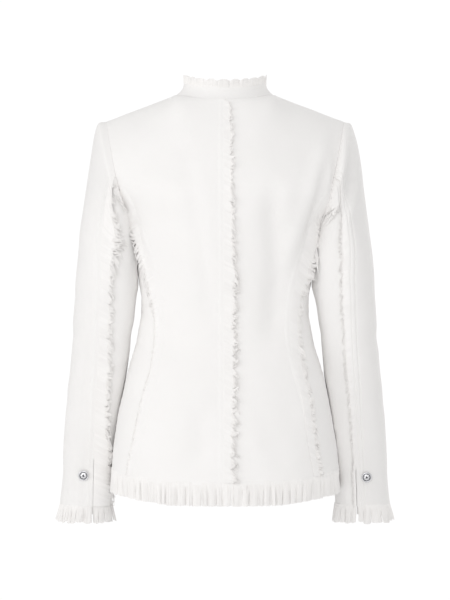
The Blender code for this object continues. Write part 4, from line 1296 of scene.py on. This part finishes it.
def hemLinePatch(place, side):
    # a narrow strip that follows the hem or a cuff at its stitch line
    if place == "cuff":
        angles = np.linspace(112, 468, 90)
        row = lastRow - sleeves["cuffLine"] / (sleeve["rows"][-2][0] - sleeve["rows"][-1][0])
        rows = np.array([row, row + 0.05])
        grid = np.repeat(angles[:, None], 2, axis=1)
        level = np.broadcast_to(rows, grid.shape)
        points, normals = mirrored(sleevePoint(grid, level), sleeveNormals(grid, level), side)
        lift = clothLift(points, normals, sleeveFolds) + underLift(side, grid, points[..., 2])
        return makePatch(points + normals * lift[..., None], normals, (0, 2))
    runs = [(frontHalf, 1, np.linspace(0.06, 1, 46)[:-1]), (backHalf, 1, np.linspace(1, 0, 46)[:-1]),
            (backHalf, -1, np.linspace(0, 1, 46)[:-1]), (frontHalf, -1, np.linspace(1, -0.05, 46))]
    points = []
    for half, turnSide, turns in runs:
        grid = np.repeat(turns[:, None], 2, axis=1)
        level = -1 + np.array((0, 0.02)) + panels["hemLine"] / body["runs"][0]
        points.append(bodyPoint(half, grid, np.broadcast_to(level, grid.shape)) * np.array((turnSide, 1, 1)))
    points = np.concatenate(points)
    normals = gridNormals(points)
    return makePatch(points + normals * clothLift(points, normals, folds)[..., None], normals, (0, 2))


# buttons

button = {
    "radius": 8.2, "height": 3.4, "rise": {"Left": 6.0, "Right": 3.5},
    # half outline: share of the radius, share of the height, and how much painted shade and painted dark
    # reflection the metal takes there
    "outline": ((0.0, 0.0, 0), (0.28, 0.0, 0), (0.28, 0.25, 1), (0.90, 0.25, 0.4), (0.985, 0.36, 0),
                (1.0, 0.52, 0), (0.97, 0.70, 0), (0.90, 0.84, 0), (0.82, 0.88, 0), (0.74, 0.80, 0.6),
                (0.70, 0.66, 1), (0.62, 0.62, 0.8), (0.50, 0.78, 0.1), (0.36, 0.94, 0), (0.20, 1.0, 0.2),
                (0.16, 0.86, 1), (0.0, 0.84, 1)),
    "sides": 48, "facets": 8, "facetDepth": 0.06,
}


def makeButton(name, node, rise=0.0):
    # turned from its half outline, then set on the solid that it stands for
    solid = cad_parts[node]
    corners = np.array([vertex.co for vertex in solid.data.vertices])
    centre = corners.mean(axis=0)
    _, _, axes = np.linalg.svd(corners - centre)
    normal = Vector(axes[2])
    onCuff = abs(centre[0]) > 0.1
    if (normal.y > 0) != onCuff:  # cuff buttons face the back and the others the front
        normal = -normal
    depth = (corners - centre) @ np.array(normal)
    bpy.ops.object.select_all(action="DESELECT")
    bpy.ops.mesh.primitive_circle_add(vertices=3, radius=1)
    piece = bpy.context.object
    piece.name = piece.data.name = name
    shape = bmesh.new()
    paintedDark = shape.verts.layers.float.new("groove")
    points = []
    for radius, height, tone in button["outline"]:
        point = shape.verts.new((radius * button["radius"] * mm, 0, height * button["height"] * mm))
        # each point carries its share of painted shade and painted dark reflection
        point[paintedDark] = tone
        points.append(point)
    lines = [shape.edges.new(pair) for pair in zip(points, points[1:])]
    bmesh.ops.spin(shape, geom=points + lines, cent=(0, 0, 0), axis=(0, 0, 1), angle=math.tau,
                   steps=button["sides"], use_merge=True)
    bmesh.ops.remove_doubles(shape, verts=shape.verts, dist=1e-6)
    for vertex in shape.verts:
        radius = math.hypot(vertex.co.x, vertex.co.y) / (button["radius"] * mm)
        if 0.2 < radius < 0.7 and vertex.co.z > 0.5 * button["height"] * mm:
            wave = math.cos(button["facets"] * math.atan2(vertex.co.y, vertex.co.x))
            vertex.co.z += wave * button["facetDepth"] * button["height"] * mm
    turn = normal.to_track_quat("Z", "Y").to_matrix()
    bmesh.ops.rotate(shape, cent=(0, 0, 0), matrix=turn, verts=shape.verts)
    seat = Vector(centre + np.array(normal) * depth.min()) + Vector((0, 0, rise * mm))
    bmesh.ops.translate(shape, vec=seat, verts=shape.verts)
    bmesh.ops.recalc_face_normals(shape, faces=shape.faces)
    shape.to_mesh(piece.data)
    shape.free()
    return finishPiece(piece, silverMetal, (node,))


def makeButtons():
    for word in ("Left", "Right"):
        makeButton("cuffButton" + word, "cuff_button_" + word.lower(), button["rise"][word])
    for number in range(1, 7):
        makeButton(f"frontButton{number}", f"front_button_{number}")
    print("buttons made")


# the whole jacket

makeBodyPanels()
makeSleeves()
collarFringe = makeCollar()
edges = makeRawEdges()
topstitching = makeStitches()
makeButtons()


# studio

studio = {
    "distance": 2.3, "height": -0.3147, "heightOfView": 0.93, "floorDrop": 0.85, "floorRadius": 3.2,
    "sky": 0.706, "ground": 1.03, "floorTone": 0.9, "size": 1.6,
    # energy and place of each lamp
    "lamps": {"key": (3.6, (1.6, 1.9, 0.5)), "lens": (12.6, (0.0, 2.5, 0.35)),
              "side": (8.0, (2.1, 1.35, -0.2)), "frontKey": (23.0, (-1.2, -2.1, 0.4))},
}


def makeStudio():
    world = bpy.data.worlds.new("studio")
    bpy.context.scene.world = world
    world.use_nodes = True
    tree = world.node_tree
    light = tree.nodes["Background"]
    light.inputs["Color"].default_value = (1, 1, 1, 1)
    light.inputs["Strength"].default_value = studio["sky"]
    seen = addNode(tree, "ShaderNodeBackground", Color=(1, 1, 1, 1), Strength=studio["ground"])
    path = addNode(tree, "ShaderNodeLightPath")
    both = addNode(tree, "ShaderNodeMixShader", Fac=path.outputs["Is Camera Ray"])
    tree.links.new(light.outputs["Background"], both.inputs[1])
    tree.links.new(seen.outputs["Background"], both.inputs[2])
    tree.links.new(both.outputs["Shader"], tree.nodes["World Output"].inputs["Surface"])
    for name, (energy, place) in studio["lamps"].items():
        lamp = bpy.data.lights.new(name, "AREA")
        lamp.energy = energy
        lamp.size = studio["size"]
        lampObject = bpy.data.objects.new(name, lamp)
        bpy.context.scene.collection.objects.link(lampObject)
        lampObject.location = place
        away = Vector(place) - Vector((0, 0, studio["height"]))
        lampObject.rotation_euler = away.to_track_quat("Z", "Y").to_euler()
    bpy.ops.object.select_all(action="DESELECT")
    bpy.ops.mesh.primitive_circle_add(vertices=96, radius=studio["floorRadius"], fill_type="NGON",
                                      location=(0, 0, cadBox[0].z - studio["floorDrop"]))
    floor = bpy.context.object
    floor.name = "floor"
    paper = bpy.data.materials.new("paleFloor")
    paper.use_nodes = True
    face = paper.node_tree.nodes["Principled BSDF"]
    face.inputs["Base Color"].default_value = (*[studio["floorTone"]] * 3, 1)
    face.inputs["Roughness"].default_value = 0.9
    floor.data.materials.append(paper)
    camera = bpy.data.cameras.new("camera")
    camera.sensor_fit = "AUTO"
    camera.sensor_width = 36
    camera.lens = 36 * studio["distance"] / studio["heightOfView"]
    camera.clip_end = 100
    cameraObject = bpy.data.objects.new("camera", camera)
    bpy.context.scene.collection.objects.link(cameraObject)
    cameraObject.location = (0, studio["distance"], studio["height"])
    cameraObject.rotation_euler = (math.radians(90), 0, math.radians(180))
    bpy.context.scene.camera = cameraObject
    bpy.context.scene.view_settings.view_transform = "Standard"
    print("studio made")


makeStudio()
